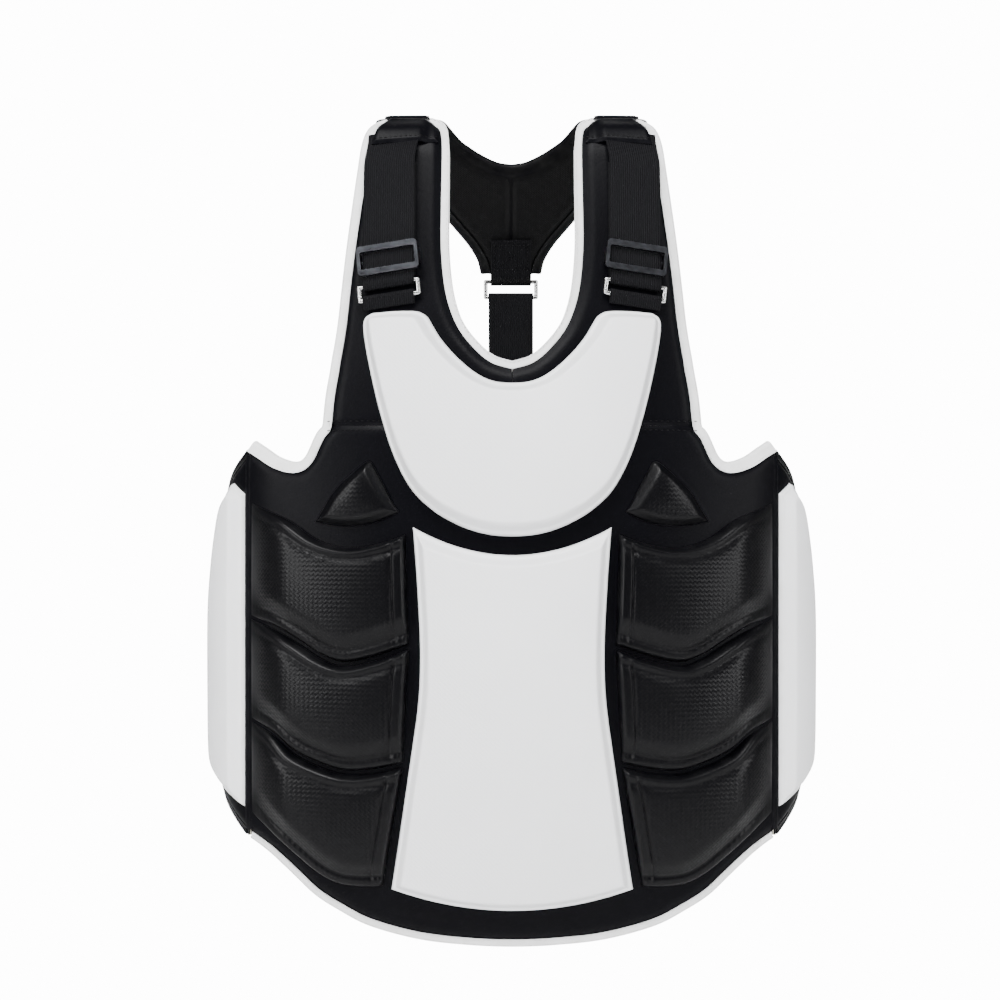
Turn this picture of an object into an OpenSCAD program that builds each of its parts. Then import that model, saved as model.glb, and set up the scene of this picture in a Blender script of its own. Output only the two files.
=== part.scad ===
// Chest protector for pad work: a padded front shell with two hinged wings, a shoulder yoke
// behind the neck, a wrap-round belt and adjustable shoulder webbing.
// +Z is up, -Y is the front of the chest, and the origin lies midway between the two
// shoulder tops, where the lining rests on the wearer.

/* [Body form] */
// Half of the width that the lining encloses at the ribs
half_width = 210; // [185:5:252]
// Distance from the side line to the middle of the chest
chest_depth = 118; // [104:2:138]
// Length of the front from the shoulder top to the hem
front_length = 600; // [510:10:720]
// Radius of the turn from the chest to the side
side_radius = 85; // [75:1:95]
// Radius of the shoulder roll
shoulder_radius = 48; // [40:1:56]
// Lean of the upper chest where the shoulder roll begins, in degrees
chest_lean = 18; // [14:1:21]
// Radius of the barrel of the chest, seen from the side
barrel_radius = 1100; // [900:50:1500]
// Radius of the back of the yoke, seen from the side
yoke_radius = 350; // [300:10:450]

/* [Plies] */
// Thickness of the lining cloth
lining_t = 1.2; // [0.8:0.1:2]
// Thickness of the foam board between lining and cover
board_t = 9.4; // [7:0.2:12]
// Thickness of the leather covers
cover_t = 1.2; // [0.9:0.1:1.8]
// Space between two plies
ply_gap = 0.2; // [0.15:0.05:0.3]
// Thickness of the edge binding
binding_t = 1; // [0.8:0.1:1.4]
// Width of the edge binding's lips
binding_w = 5; // [4:0.5:7]
// Space between a binding and the edge it folds over
binding_gap = 0.4; // [0.3:0.05:0.6]

/* [Raised pads] */
// Height of the chest pad above the cover
chest_pad_h = 14; // [10:1:18]
// Height of the belly pad above the cover
belly_pad_h = 12; // [9:1:16]
// Height of the rib and corner pads above the cover
rib_pad_h = 10; // [7:1:14]
// Height of the wing pads above the cover
wing_pad_h = 10; // [7:1:12]
// How far a pad's top edge stands in from its base
pad_slope = 5; // [3.5:0.5:6]
// Half of the groove between two rib pads
groove_half = 1.6; // [1:0.2:2.4]
// Space round the foam inside a raised pad's skin
foam_gap = 0.7; // [0.6:0.1:1]

/* [Shoulder straps] */
// Width of the shoulder webbing
webbing_w = 38; // [30:1:40]
// Thickness of all webbing
webbing_t = 1.4; // [1.2:0.1:1.8]
// Diameter of the wire of the rings
ring_wire = 3.2; // [2.8:0.1:3.8]
// Distance between the two bars of a ring
ring_bars = 10; // [9:0.5:12]
// Height of the slider's frame
slider_h = 22; // [19:1:26]
// Thickness of the slider's frame bars
slider_bar_t = 2.4; // [2:0.2:3]
// Tilt of slider and ring on the strap, in degrees
hardware_tilt = 6; // [0:1:8]
// Upward travel of the slider on the webbing
slider_travel = 50; // [30:5:55]

/* [Back] */
// Width of the waist belt
belt_w = 98; // [70:2:100]
// Thickness of the belt and of its tab
belt_t = 3; // [2:0.2:4]
// Thickness of hook and pile patches
patch_t = 1.2; // [1:0.1:1.5]
// How far the belt passes the middle of the back
belt_past = 110; // [80:5:150]
// How far the tab passes the middle of the back
tab_past = 30; // [20:5:50]
// Width of the webbing that hangs from the yoke
back_webbing_w = 36; // [30:1:38]
// Width of the sewn tab that holds the back ring
back_tab_w = 32.5; // [28:0.5:34]
// Distance from the shoulder line back to the hanging webbing
back_strap_y = 118.5; // [112:0.5:126]
// Distance between the two bars of the back ring
back_ring_bars = 12.4; // [10:0.2:15]

/* [Hidden] */
$fn = 48;

black_leather = "#1c1c1e";
white_leather = "#f1f1ef";
foam_colour = "#cfc9b6";
lining_colour = "#3a3a3d";
webbing_colour = "#232326";
metal_colour = "#b9bcc0";

// Plies, as heights above the inner face of the lining
board_low = lining_t + ply_gap;
board_top = board_low + board_t;
cover_low = board_top + ply_gap;
cover_top = cover_low + cover_t;
pad_low = cover_top + 2 * ply_gap;

// Heights at which the shoulder roll begins and ends, and the line of the shoulder tops
roll_low = -shoulder_radius * (1 - sin(chest_lean));
roll_top = roll_low + shoulder_radius * rad(90 - chest_lean);
barrel_z = roll_low - barrel_radius * sin(chest_lean);
top_y = -chest_depth + barrel_radius * (1 - cos(chest_lean)) + shoulder_radius * cos(chest_lean);

// Plan of the body: a flat front arc, two side arcs and a flat back arc
back_depth = back_strap_y + top_y + 0.5;
side_x = half_width - side_radius;
front_r = arc_radius(chest_depth);
front_deg = asin(side_x / (front_r - side_radius));
front_x = front_r * sin(front_deg);
back_r = arc_radius(back_depth);
back_deg = asin(side_x / (back_r - side_radius));
side_end = front_x + side_radius * rad(180 - back_deg - front_deg);
back_mid = side_end + back_r * rad(back_deg);
function rad(deg) = deg * PI / 180;
function deg(r) = r * 180 / PI;
function arc_radius(depth) =
    (depth * depth + side_x * side_x - side_radius * side_radius) / (2 * (depth - side_radius));

// Plan position and outward direction at distance a round the body from the front middle
function plan_angle(a) =
    a <= front_x ? asin(a / front_r)
    : a <= side_end ? front_deg + deg((a - front_x) / side_radius)
    : 180 - deg((back_mid - a) / back_r);
function plan_point(a) =
    let (p = plan_angle(a))
    a <= front_x ? [a, front_r - chest_depth - front_r * cos(p)]
    : a <= side_end ? [side_x + side_radius * sin(p), -side_radius * cos(p)]
    : [back_r * sin(p), back_depth - back_r - back_r * cos(p)];
function plan_out(a) = [sin(plan_angle(a)), -cos(plan_angle(a))];

// Side view of the body: hem to upper chest on the barrel, then the shoulder roll and the yoke
yoke_deg = 40;
yoke_from = roll_top + shoulder_radius * rad(yoke_deg);
function side_view(h) =
    h <= roll_low
        ? [-chest_depth + barrel_radius - sqrt(barrel_radius ^ 2 - (h - barrel_z) ^ 2), h]
    : h <= yoke_from
        ? let (p = deg((h - roll_top) / shoulder_radius))
            [top_y + shoulder_radius * sin(p), -shoulder_radius * (1 - cos(p))]
    : let (p = yoke_deg + deg((h - yoke_from) / yoke_radius))
        [top_y + shoulder_radius * sin(yoke_deg) + yoke_radius * (sin(p) - sin(yoke_deg)),
         -shoulder_radius * (1 - cos(yoke_deg)) - yoke_radius * (cos(yoke_deg) - cos(p))];

// The form: pattern width a and pattern height h to a point on the lining's inner face.
// The barrel dies out towards the flex line, so that the wings are upright and bend
// along one straight line.
function smooth(t) = let (c = min(1, max(0, t))) c * c * (3 - 2 * c);
function sides(a) = abs(a) <= front_x
    ? front_r - sqrt(front_r ^ 2 - a * a)
    : chest_depth - side_radius * cos(front_deg + deg((abs(a) - front_x) / side_radius));
function across(a) = abs(a) <= front_x ? a
    : sign(a) * (side_x + side_radius * sin(front_deg + deg((abs(a) - front_x) / side_radius)));
function form(a, h) =
    let (s = side_view(h),
         upper = smooth((h + 240) / 90),
         keep = 1 - (1 - upper) * min(1, (a / flex_a) ^ 2),
         turn = 1 - 1.4 * smooth((h + 140) / 230))
    [across(a), -chest_depth + keep * (s[0] + chest_depth) + turn * sides(a), s[1]];
function outward(a, h) =
    let (e = 0.05, v = cross(form(a + e, h) - form(a - e, h), form(a, h + e) - form(a, h - e)))
    v / norm(v);
function at(p, d) = form(p.x, p.y) + outward(p.x, p.y) * d - [0, top_y, 0];

// The pattern is drawn for a flex line 189 out and a front 600 long, and graded from there
drawn_flex = 189;
drawn_length = 600;
flex_deg = 44.3;
flex_a = front_x + side_radius * rad(flex_deg - front_deg);
function graded(p) =
    [p.x * flex_a / drawn_flex, p.y < 0 ? p.y * front_length / drawn_length : p.y];

// A panel is a list of ribs. Each rib runs straight, or through a middle point, from one
// edge of the panel to the other, and a smooth curve joins rib to rib. A list of several
// runs of ribs keeps a corner where two runs meet.
function mix(p, q, t) = p + (q - p) * t;
function curve(p0, p1, p2, p3, t) =
    p1 + 0.5 * t * ((p2 - p0) + t * ((2 * p0 - 5 * p1 + 4 * p2 - p3)
        + t * (3 * p1 - p0 - 3 * p2 + p3)));
function run_rows(ribs, k, first) =
    let (last = len(ribs) - 1)
    [for (i = [0:last - 1], j = [0:k])
        if (j > 0 || (first && i == 0))
            curve(i > 0 ? ribs[i - 1] : 2 * ribs[0] - ribs[1], ribs[i], ribs[i + 1],
                i < last - 1 ? ribs[i + 2] : 2 * ribs[last] - ribs[last - 1], j / k)];
function rows(runs, k) =
    [for (n = [0:len(runs) - 1]) each run_rows(runs[n], k, n == 0)];
function on_rib(rib, u) = len(rib) == 2
    ? mix(rib[0], rib[1], u)
    : rib[0] * (2 * u * u - 3 * u + 1) + rib[1] * (4 * u - 4 * u * u) + rib[2] * (2 * u * u - u);
function span(rib) = norm(graded(rib[len(rib) - 1]) - graded(rib[0]));
function step(r0, r1) = norm(graded(on_rib(r1, 0.5)) - graded(on_rib(r0, 0.5)));
function inset_rows(r, inset) =
    let (n = len(r) - 1)
    [mix(r[0], r[1], inset / step(r[0], r[1])), each [for (i = [1:1:n - 1]) r[i]],
     mix(r[n], r[n - 1], inset / step(r[n], r[n - 1]))];
function patch_grid(r, nu, inset, d) =
    [for (rib = inset_rows(r, inset))
        let (e = inset / span(rib))
        [for (i = [0:nu]) at(graded(on_rib(rib, e + (1 - 2 * e) * i / nu)), d)]];

// The skin of a raised pad: its rim at height low, its crown at height high
function pad_grid(r, nu, rim, crown, low, high) =
    let (rims = inset_rows(r, rim), crowns = inset_rows(r, crown), n = len(r) - 1,
         all = concat([rims[0]], crowns, [rims[n]]))
    [for (j = [0:n + 2])
        let (w = span(all[j]))
        [for (i = [0:nu + 2])
            let (edge = i == 0 || i == nu + 2,
                 u = edge ? rim / w : crown / w,
                 t = edge ? (i == 0 ? 0 : 1) : (i - 1) / nu)
            at(graded(on_rib(all[j], u + (1 - 2 * u) * t)),
                edge || j == 0 || j == n + 2 ? low : high)]];

// A closed solid between an upper and a lower grid of points
module slab(top, low) {
    rows = len(top);
    cols = len(top[0]);
    size = rows * cols;
    r = floor((rows - 1) / 2);
    c = floor((cols - 1) / 2);
    span_u = top[r][c + 1] - top[r][c];
    span_v = top[r + 1][c] - top[r][c];
    outwards = cross(span_u, span_v) * (top[r][c] - low[r][c]) > 0;
    points = concat([for (row = top) each row], [for (row = low) each row]);
    function id(i, j, s) = s * size + i * cols + j;
    function quad(p, q, s, t) = [[p, q, s], [p, s, t]];
    // Every corner cell is split along the ridge that runs into its corner
    function split(i, j, p, q, s, t) =
        (i == 0 && j == cols - 2) || (i == rows - 2 && j == 0) ? quad(q, s, t, p)
        : quad(p, q, s, t);
    sheet = [for (i = [0:rows - 2], j = [0:cols - 2]) each concat(
        split(i, j, id(i, j, 0), id(i + 1, j, 0), id(i + 1, j + 1, 0), id(i, j + 1, 0)),
        split(i, j, id(i, j, 1), id(i, j + 1, 1), id(i + 1, j + 1, 1), id(i + 1, j, 1)))];
    ends = [for (j = [0:cols - 2]) each concat(
        quad(id(0, j, 0), id(0, j + 1, 0), id(0, j + 1, 1), id(0, j, 1)),
        quad(id(rows - 1, j + 1, 0), id(rows - 1, j, 0), id(rows - 1, j, 1),
            id(rows - 1, j + 1, 1)))];
    flanks = [for (i = [0:rows - 2]) each concat(
        quad(id(i + 1, 0, 0), id(i, 0, 0), id(i, 0, 1), id(i + 1, 0, 1)),
        quad(id(i, cols - 1, 0), id(i + 1, cols - 1, 0), id(i + 1, cols - 1, 1),
            id(i, cols - 1, 1)))];
    faces = concat(sheet, ends, flanks);
    polyhedron(points, outwards ? faces : [for (f = faces) [f[2], f[1], f[0]]]);
}
module ply(r, nu, low, high) {
    slab(patch_grid(r, nu, 0, high), patch_grid(r, nu, 0, low));
}
module pad_cover(r, nu, height, slope) {
    slab(pad_grid(r, nu, 0, slope, pad_low, pad_low + height),
        pad_grid(r, nu, cover_t, slope + cover_t, pad_low, pad_low + height - cover_t));
}
module pad_foam(r, nu, height, slope) {
    skin = cover_t + foam_gap;
    slab(patch_grid(r, nu, slope + skin, pad_low + height - skin),
        patch_grid(r, nu, skin, pad_low + ply_gap));
}

// Edge binding: a strip folded over a panel's edge. inward is 1 or -1, for the side of the
// path on which the panel lies.
module binding(path, inward) {
    n = len(path) - 1;
    function side(i) =
        let (t = path[min(n, i + 1)] - path[max(0, i - 1)]) inward * [-t.y, t.x] / norm(t);
    function lip(i, in, d) = at(path[i] + side(i) * in, d);
    function fold(out, d0, d1) = [for (i = [0:n])
        [lip(i, binding_w, d1), lip(i, -out, d1), lip(i, -out, d0), lip(i, binding_w, d0)]];
    near = binding_gap;
    far = binding_gap + binding_t;
    slab(fold(far, -far, cover_top + far), fold(near, -near, cover_top + near));
}

// Webbing: a strip along a path in height and lift, turned on the form by a tilt
module strip(path, width, thickness, place) {
    n = len(path) - 1;
    function side(i) =
        let (t = path[min(n, i + 1)] - path[max(0, i - 1)]) [-t.y, t.x] / norm(t);
    function face(s) = [for (i = [0:n])
        [for (x = [-width / 2, width / 2]) place(x, path[i] + side(i) * s * thickness / 2)]];
    slab(face(1), face(-1));
}
function turn(centre, radius, from, to, n) =
    [for (i = [0:n]) let (p = from + (to - from) * i / n) centre + radius * [cos(p), sin(p)]];

// Pattern outlines, for the wearer's left half, which is on +X. The other half mirrors it.
mid = 0.3;
shoulder_seam = -229;
seam_gap = 0.5;
armhole = [[135, -234], [144, -252], [153, -257], [166, -253.5], [179, -246]];
trunk_half = [
    [[30, shoulder_seam - seam_gap], [30, -598.5]], [[65, shoulder_seam - seam_gap], [65, -595]],
    [[100, shoulder_seam - seam_gap], [100, -586]], [[126, shoulder_seam - seam_gap], [122, -575]],
    [armhole[0], [138, -565]], [armhole[1], [151, -552]], [armhole[2], [160, -544]],
    [armhole[3], [170, -536]], [armhole[4], [180, -530]], [[188.6, -241], [188.6, -526]]
];
function mirrored(ribs) =
    [for (i = [len(ribs) - 1:-1:0]) [for (p = ribs[i]) [-p.x, p.y]]];
trunk_ribs = concat(mirrored(trunk_half),
    [[[0, shoulder_seam - seam_gap], [0, -599.5]]], trunk_half);
trunk_rows = rows([trunk_ribs], 1);

flap_low = [[[mid, shoulder_seam + seam_gap], [131, shoulder_seam + seam_gap]],
    [[mid, -208], [129, -208]], [[mid, -187], [126, -190]]];
flap_high = [
    [[mid, -187], [126, -190]], [[14, -182.5], [124.5, -180]], [[26, -172], [122.5, -168]],
    [[36, -156.5], [120.5, -153]], [[42.5, -134], [118.5, -132]], [[45.5, -104], [115.5, -101]],
    [[45.5, -74], [112.5, -74]], [[45.5, -44], [109, -44]], [[46, -22], [106, -22]],
    [[49, -9], [101, -8]], [[57, -2], [92, 1.5]]
];
flap_rows = rows([flap_low, flap_high], 1);
neck_from = len(flap_low) - 1;

cap_rows = rows([[[[66, -20], [99, -20]], [[65, -11], [95.5, -10]], [[65, -3], [86, -1.5]]]], 2);

chest_half = [
    [[6, -202], [12, -306.5]], [[13, -201], [27, -303]], [[21, -196.5], [42, -296.5]],
    [[31, -189], [56, -288]], [[41, -179], [70, -273.5]], [[50, -167], [83, -250]],
    [[56, -159], [93, -222]], [[61, -154], [101.5, -186]], [[76, -150.5], [98, -155]]
];
chest_rows = rows([concat(mirrored(chest_half), chest_half)], 1);

function belly_rib(edge, h, dip) = [[-edge, h], [0, h - dip], [edge, h]];
belly_rows = rows([[
    belly_rib(68, -301, 19.5), belly_rib(65, -342, 14), belly_rib(63, -385, 8),
    belly_rib(64, -421, 6), belly_rib(68.5, -456, 6), belly_rib(73, -486, 8),
    belly_rib(79, -526, 11), belly_rib(84, -557.5, 14)
]], 1);

// Grooves between the rib pads, from the belly channel out to the flex line
groove_upper = [[74, -310], [90, -316], [108, -319.5], [123, -317], [138, -310], [157, -296],
    [185, -283]];
groove_middle = [[72.5, -390.5], [94, -397.5], [115, -401], [131, -396], [148, -385],
    [165, -375], [185, -367]];
groove_lower = [[76.5, -474], [96, -477], [116, -477.5], [136, -471], [152, -463], [167, -450],
    [185, -441]];
rib_hem = [[90, -557], [105, -558], [121, -556.5], [135, -550], [150, -538.5], [167, -524.5],
    [185, -510]];
function between(upper, lower) = rows([[for (i = [0:len(upper) - 1])
    [upper[i] - [0, groove_half], lower[i] + [0, groove_half]]]], 2);
upper_rib_rows = between(groove_upper, groove_middle);
middle_rib_rows = between(groove_middle, groove_lower);
lower_rib_rows = between(groove_lower, rib_hem);
corner_slope = 3;
corner_rows = rows([[
    [[89, -264], [96, -264.5], [103, -266]], [[84.5, -274], [100, -277], [115, -279]],
    [[80, -285], [104, -289], [128, -290.5]], [[78, -290], [106, -298], [135, -297]]
]], 1);

// The wing stands off the trunk by wing_gap and its rear edge is upright where the belt is sewn
wing_front = 189.2;
wing_rear = 246;
wing_rows = rows([[
    [[wing_front, -241.5], [194, -239]], [[wing_front, -267], [213, -264]],
    [[wing_front, -288], [224, -284]], [[wing_front, -315], [231.5, -310]],
    [[wing_front, -339], [239, -334]], [[wing_front, -361], [244.5, -356]],
    [[wing_front, -381], [wing_rear, -378]], [[wing_front, -425], [wing_rear, -422]],
    [[wing_front, -468], [wing_rear, -463]], [[wing_front, -489], [242, -485]],
    [[wing_front, -506], [228, -500]], [[wing_front, -519], [209, -513]],
    [[wing_front, -526], [194, -523.5]]
]], 1);
wing_pad_rows = rows([[
    [[191.5, -276.5], [204, -268.5]], [[191.5, -291], [218, -283]], [[191.5, -313], [227, -307]],
    [[191.5, -337], [234, -331]], [[191.5, -360], [240, -354]], [[191.5, -381], [242.5, -378]],
    [[191.5, -425], [242.5, -422]], [[191.5, -466], [242, -460]], [[191.5, -487], [236, -480]],
    [[191.5, -505], [214, -495]]
]], 1);

yoke_front = 4.8;
yoke_end = 180;
yoke_high = [
    [[50, yoke_front], [104, yoke_front]], [[49.5, 26], [103, 28]], [[48, 50], [94, 56]],
    [[42, 61.5], [84, 78]], [[34, 69.5], [73, 97]], [[24, 77.5], [62, 113]],
    [[12, 84.5], [51, 127]], [[mid, 87], [42, 139]]
];
yoke_low = [[[mid, 87], [42, 139]], [[mid, 118], [31, 154]], [[mid, 149], [23.5, 168]],
    [[mid, yoke_end], [20.6, yoke_end]]];
yoke_rows = rows([yoke_high, yoke_low], 1);

module left() {
    children();
}
module right() {
    mirror([1, 0, 0]) children();
}
module pair() {
    left() children();
    right() children();
}

// Front shell
module trunk_lining() {
    color(lining_colour) ply(trunk_rows, 6, 0, lining_t);
}
module trunk_board() {
    color(foam_colour) ply(trunk_rows, 6, board_low, board_top);
}
module trunk_cover() {
    color(black_leather) ply(trunk_rows, 6, cover_low, cover_top);
}
module flap_lining() {
    color(lining_colour) ply(flap_rows, 3, 0, lining_t);
}
module flap_board() {
    color(foam_colour) ply(flap_rows, 3, board_low, board_top);
}
module flap_cover() {
    color(black_leather) ply(flap_rows, 3, cover_low, cover_top);
}
module shoulder_cap() {
    color(black_leather) ply(cap_rows, 2, pad_low, pad_low + cover_t);
}

// Raised pads: a leather skin, open behind, over a block of foam
module chest_pad_foam() {
    color(foam_colour) pad_foam(chest_rows, 4, chest_pad_h, pad_slope);
}
module chest_pad_cover() {
    color(white_leather) pad_cover(chest_rows, 4, chest_pad_h, pad_slope);
}
module belly_pad_foam() {
    color(foam_colour) pad_foam(belly_rows, 8, belly_pad_h, pad_slope);
}
module belly_pad_cover() {
    color(white_leather) pad_cover(belly_rows, 8, belly_pad_h, pad_slope);
}
module rib_cover(r) {
    color(black_leather) pad_cover(r, 3, rib_pad_h, pad_slope);
}
module corner_pad_cover() {
    color(black_leather) pad_cover(corner_rows, 3, rib_pad_h * 0.8, corner_slope);
}
module rib_foams() {
    color(foam_colour) {
        for (r = [upper_rib_rows, middle_rib_rows, lower_rib_rows])
            pad_foam(r, 3, rib_pad_h, pad_slope);
        pad_foam(corner_rows, 3, rib_pad_h * 0.8, corner_slope);
    }
}

// Edge bindings follow the edges of the very panels that they fold over
function edge(r, u) = [for (rib = r) graded(on_rib(rib, u))];
function flipped(path) = [for (i = [len(path) - 1:-1:0]) [-path[i].x, path[i].y]];
function tail(list, from) = [for (i = [from:len(list) - 1]) list[i]];
function head(list, upto) = [for (i = [0:upto]) list[i]];
trunk_mid = len(trunk_half);
armhole_from = trunk_mid + 5;
module neck_binding() {
    neck = tail(edge(flap_rows, 0), neck_from);
    color(white_leather) binding(concat(flipped(neck), neck), -1);
}
module hem_binding() {
    color(white_leather) binding(edge(trunk_rows, 1), 1);
}
module armhole_binding() {
    down = edge(flap_rows, 1);
    under = tail(edge(trunk_rows, 0), armhole_from);
    n = len(under) - 1;
    stop = mix(under[n - 1], under[n], 0.6);
    color(white_leather) binding(
        concat([for (i = [len(down) - 1:-1:1]) down[i]], head(under, n - 1), [stop]), -1);
}

// Shoulder webbing runs down to the ring, turns round its upper bar and comes back under
// the slider. The ring tab is sewn in at the chest pad's top edge.
strap_mid = 85.5;
strap_middle = -80;
strap_top = -21;
slider_height = -111.5;
ring_middle = -134.5;
loop_gap = 0.5;
wire_r = ring_wire / 2;
bar_lift = pad_low + webbing_t + loop_gap + wire_r + 0.8;
loop_r = wire_r + loop_gap + webbing_t / 2;
tab_end = -146.5;

// The strap lies flat in one frame, set on the form at the strap's middle. Bars and the
// webbing's ends are turned in it by the tilt.
function unit(v) = v / norm(v);
strap_a = strap_mid * flex_a / drawn_flex;
function on_centre(h, d) = at(graded([strap_mid, h]), d);
strap_origin = on_centre(strap_middle, bar_lift);
strap_out = outward(strap_a, strap_middle * front_length / drawn_length);
strap_flat = unit(cross(on_centre(strap_middle + 3, 0) - on_centre(strap_middle - 3, 0), strap_out));
strap_rise = cross(strap_out, strap_flat);
bar_axis = strap_flat * cos(hardware_tilt) - strap_rise * sin(hardware_tilt);
bar_up = cross(strap_out, bar_axis);
function run(h) = (h - strap_middle) * front_length / drawn_length;
function over_form(h, d) =
    let (p = on_centre(h, d) - strap_origin) [p * strap_rise, p * strap_out];
function on_strap(x, p) = strap_origin + bar_axis * x + strap_rise * p.x + strap_out * p.y;
return_end = run(slider_height) + slider_travel + slider_h / 2 + 6;
module shoulder_webbing() {
    bar = [run(ring_middle) + ring_bars / 2, 0];
    end = over_form(strap_top, pad_low + 5.2);
    bend = [return_end + 2, loop_r];
    path = concat([end, mix(end, bend, 0.55) + [0, 1], bend],
        [for (h = [-80, -120]) [run(h), loop_r]],
        turn(bar, loop_r, 90, 270, 8),
        [for (h = [-120, -80]) [run(h), -loop_r]], [[return_end, -loop_r]]);
    color(webbing_colour) strip(path, webbing_w, webbing_t, function (x, p) on_strap(x, p));
}
module ring_tab() {
    bar = [run(ring_middle) - ring_bars / 2, 0];
    path = concat([over_form(tab_end, pad_low + 1.4)], turn(bar, loop_r, -90, 90, 8),
        [over_form(tab_end, pad_low + webbing_t + 1.9)]);
    color(webbing_colour) strip(path, webbing_w, webbing_t, function (x, p) on_strap(x, p));
}

// Hardware is drawn flat, bars along X, and set on the strap by place_on_strap
module place_on_strap(height) {
    p = strap_origin + strap_rise * run(height);
    multmatrix([for (i = [0:2]) [bar_axis[i], bar_up[i], strap_out[i], p[i]]]) children();
}
slider_clear = 1;
slider_leg = 2.6;
slider_end_w = webbing_w + 2 * slider_clear + 2 * slider_leg;
slider_pin_r = 1.4;
slider_rail = 4.5;
frame_low = loop_r + webbing_t / 2 + 0.6;
module rounded(w, h, r) {
    square([w - 2 * r, h], center = true);
    square([w, h - 2 * r], center = true);
    for (x = [-1, 1], y = [-1, 1])
        translate([x * (w / 2 - r), y * (h / 2 - r)]) circle(r);
}
module slider() {
    leg_x = slider_end_w / 2 - slider_leg / 2;
    color(metal_colour) union() {
        translate([0, 0, frame_low]) linear_extrude(slider_bar_t) difference() {
            rounded(slider_end_w, slider_h, 3);
            rounded(slider_end_w - 2 * slider_leg, slider_h - 2 * slider_rail, 1);
        }
        for (s = [-1, 1])
            translate([s * leg_x - slider_leg / 2, -slider_h / 4, -slider_pin_r])
                cube([slider_leg, slider_h / 2, frame_low + slider_pin_r + slider_bar_t / 2]);
        translate([-leg_x, 0, 0]) rotate([0, 90, 0]) cylinder(r = slider_pin_r, h = 2 * leg_x);
    }
}
module wire_ring(inner_w, bars) {
    x = inner_w / 2 + wire_r;
    color(metal_colour) union() {
        for (s = [-1, 1]) {
            translate([-x, s * bars / 2, 0]) rotate([0, 90, 0]) cylinder(r = wire_r, h = 2 * x);
            translate([s * x, -bars / 2, 0]) rotate([-90, 0, 0]) cylinder(r = wire_r, h = bars);
            for (t = [-1, 1]) translate([s * x, t * bars / 2, 0]) sphere(wire_r);
        }
    }
}
module shoulder_slider() {
    place_on_strap(slider_height) slider();
}
module shoulder_ring() {
    place_on_strap(ring_middle) wire_ring(webbing_w + 2 * slider_clear, ring_bars);
}

// Wings
module wing_lining() {
    color(lining_colour) ply(wing_rows, 3, 0, lining_t);
}
module wing_board() {
    color(foam_colour) ply(wing_rows, 3, board_low, board_top);
}
module wing_cover() {
    color(black_leather) ply(wing_rows, 3, cover_low, cover_top);
}
module wing_pad_foam() {
    color(foam_colour) pad_foam(wing_pad_rows, 3, wing_pad_h, pad_slope);
}
module wing_pad_cover() {
    color(white_leather) pad_cover(wing_pad_rows, 3, wing_pad_h, pad_slope);
}

// Belt: upright bands on the plan of the body. The tab lies inside, the belt outside.
belt_middle = -415;
tab_lift = 2;
pile_lift = tab_lift + belt_t + 0.1;
hook_lift = pile_lift + patch_t + 0.5;
belt_lift = hook_lift + patch_t + 0.1;
belt_start = wing_rear * flex_a / drawn_flex + 1.2;
patch_long = 2 * (tab_past + 25);
function band_point(a, z, d) =
    let (p = plan_point(a), o = plan_out(a)) [p.x + o.x * d, p.y + o.y * d - top_y, z];
module band(from, to, width, low, high, pieces) {
    z = belt_middle * front_length / drawn_length;
    function face(d) = [for (i = [0:pieces])
        [for (s = [-0.5, 0.5]) band_point(from + (to - from) * i / pieces, z + s * width, d)]];
    slab(face(high), face(low));
}
module belt() {
    color(black_leather)
        band(belt_start, back_mid + belt_past, belt_w, belt_lift, belt_lift + belt_t, 44);
}
module belt_hook_patch() {
    color(webbing_colour) band(back_mid + belt_past - 6 - patch_long, back_mid + belt_past - 6,
        belt_w - 12, hook_lift, hook_lift + patch_t, 8);
}
module belt_tab() {
    color(black_leather) mirror([1, 0, 0])
        band(belt_start, back_mid + tab_past, belt_w, tab_lift, tab_lift + belt_t, 32);
}
module belt_pile_patch() {
    color(webbing_colour) mirror([1, 0, 0])
        band(back_mid + tab_past - 6 - patch_long, back_mid + tab_past - 6, belt_w - 12,
            pile_lift, pile_lift + patch_t, 8);
}

// Yoke: two halves sewn down the middle, behind the neck
module yoke_lining() {
    color(lining_colour) pair() ply(yoke_rows, 3, 0, lining_t);
}
module yoke_board() {
    color(foam_colour) pair() ply(yoke_rows, 3, board_low, board_top);
}
module yoke_cover() {
    color(black_leather) pair() ply(yoke_rows, 3, cover_low, cover_top);
}
module yoke_binding() {
    inner = head(edge(yoke_rows, 0), len(yoke_high) - 1);
    outer = edge(yoke_rows, 1);
    color(black_leather) {
        binding(concat(inner, flipped(inner)), -1);
        pair() binding(outer, 1);
    }
}

// Back ring and hanging strap, drawn in the upright plane through the middle of the back
ring_under = 7.2;
yoke_foot = at([0, yoke_end], cover_top / 2);
back_bar_z = yoke_foot.z - ring_under;
back_low_z = back_bar_z - back_ring_bars;
function on_yoke(h, d) = let (p = at([0, h], d)) [p.y, p.z];
function upright(x, p) = [x, p.x, p.y];
tab_gap = 0.6;
module yoke_tab() {
    bar = [back_strap_y, back_bar_z];
    outer = cover_top + tab_gap + webbing_t / 2;
    inner = -tab_gap - webbing_t / 2;
    path = concat([for (h = [150, 160, 170, yoke_end + 1]) on_yoke(h, outer)],
        turn(bar, loop_r, 15, -170, 10),
        [for (h = [yoke_end + 1, 170, 160, 150]) on_yoke(h, inner)]);
    color(webbing_colour)
        strip(path, back_tab_w, webbing_t, function (x, p) upright(x, p));
}
module back_ring() {
    translate([0, back_strap_y, (back_bar_z + back_low_z) / 2]) rotate([90, 0, 0])
        wire_ring(back_webbing_w + 1.2, back_ring_bars);
}
back_strap_end = -452;
strap_half = webbing_t / 2 + 0.1;
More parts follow.
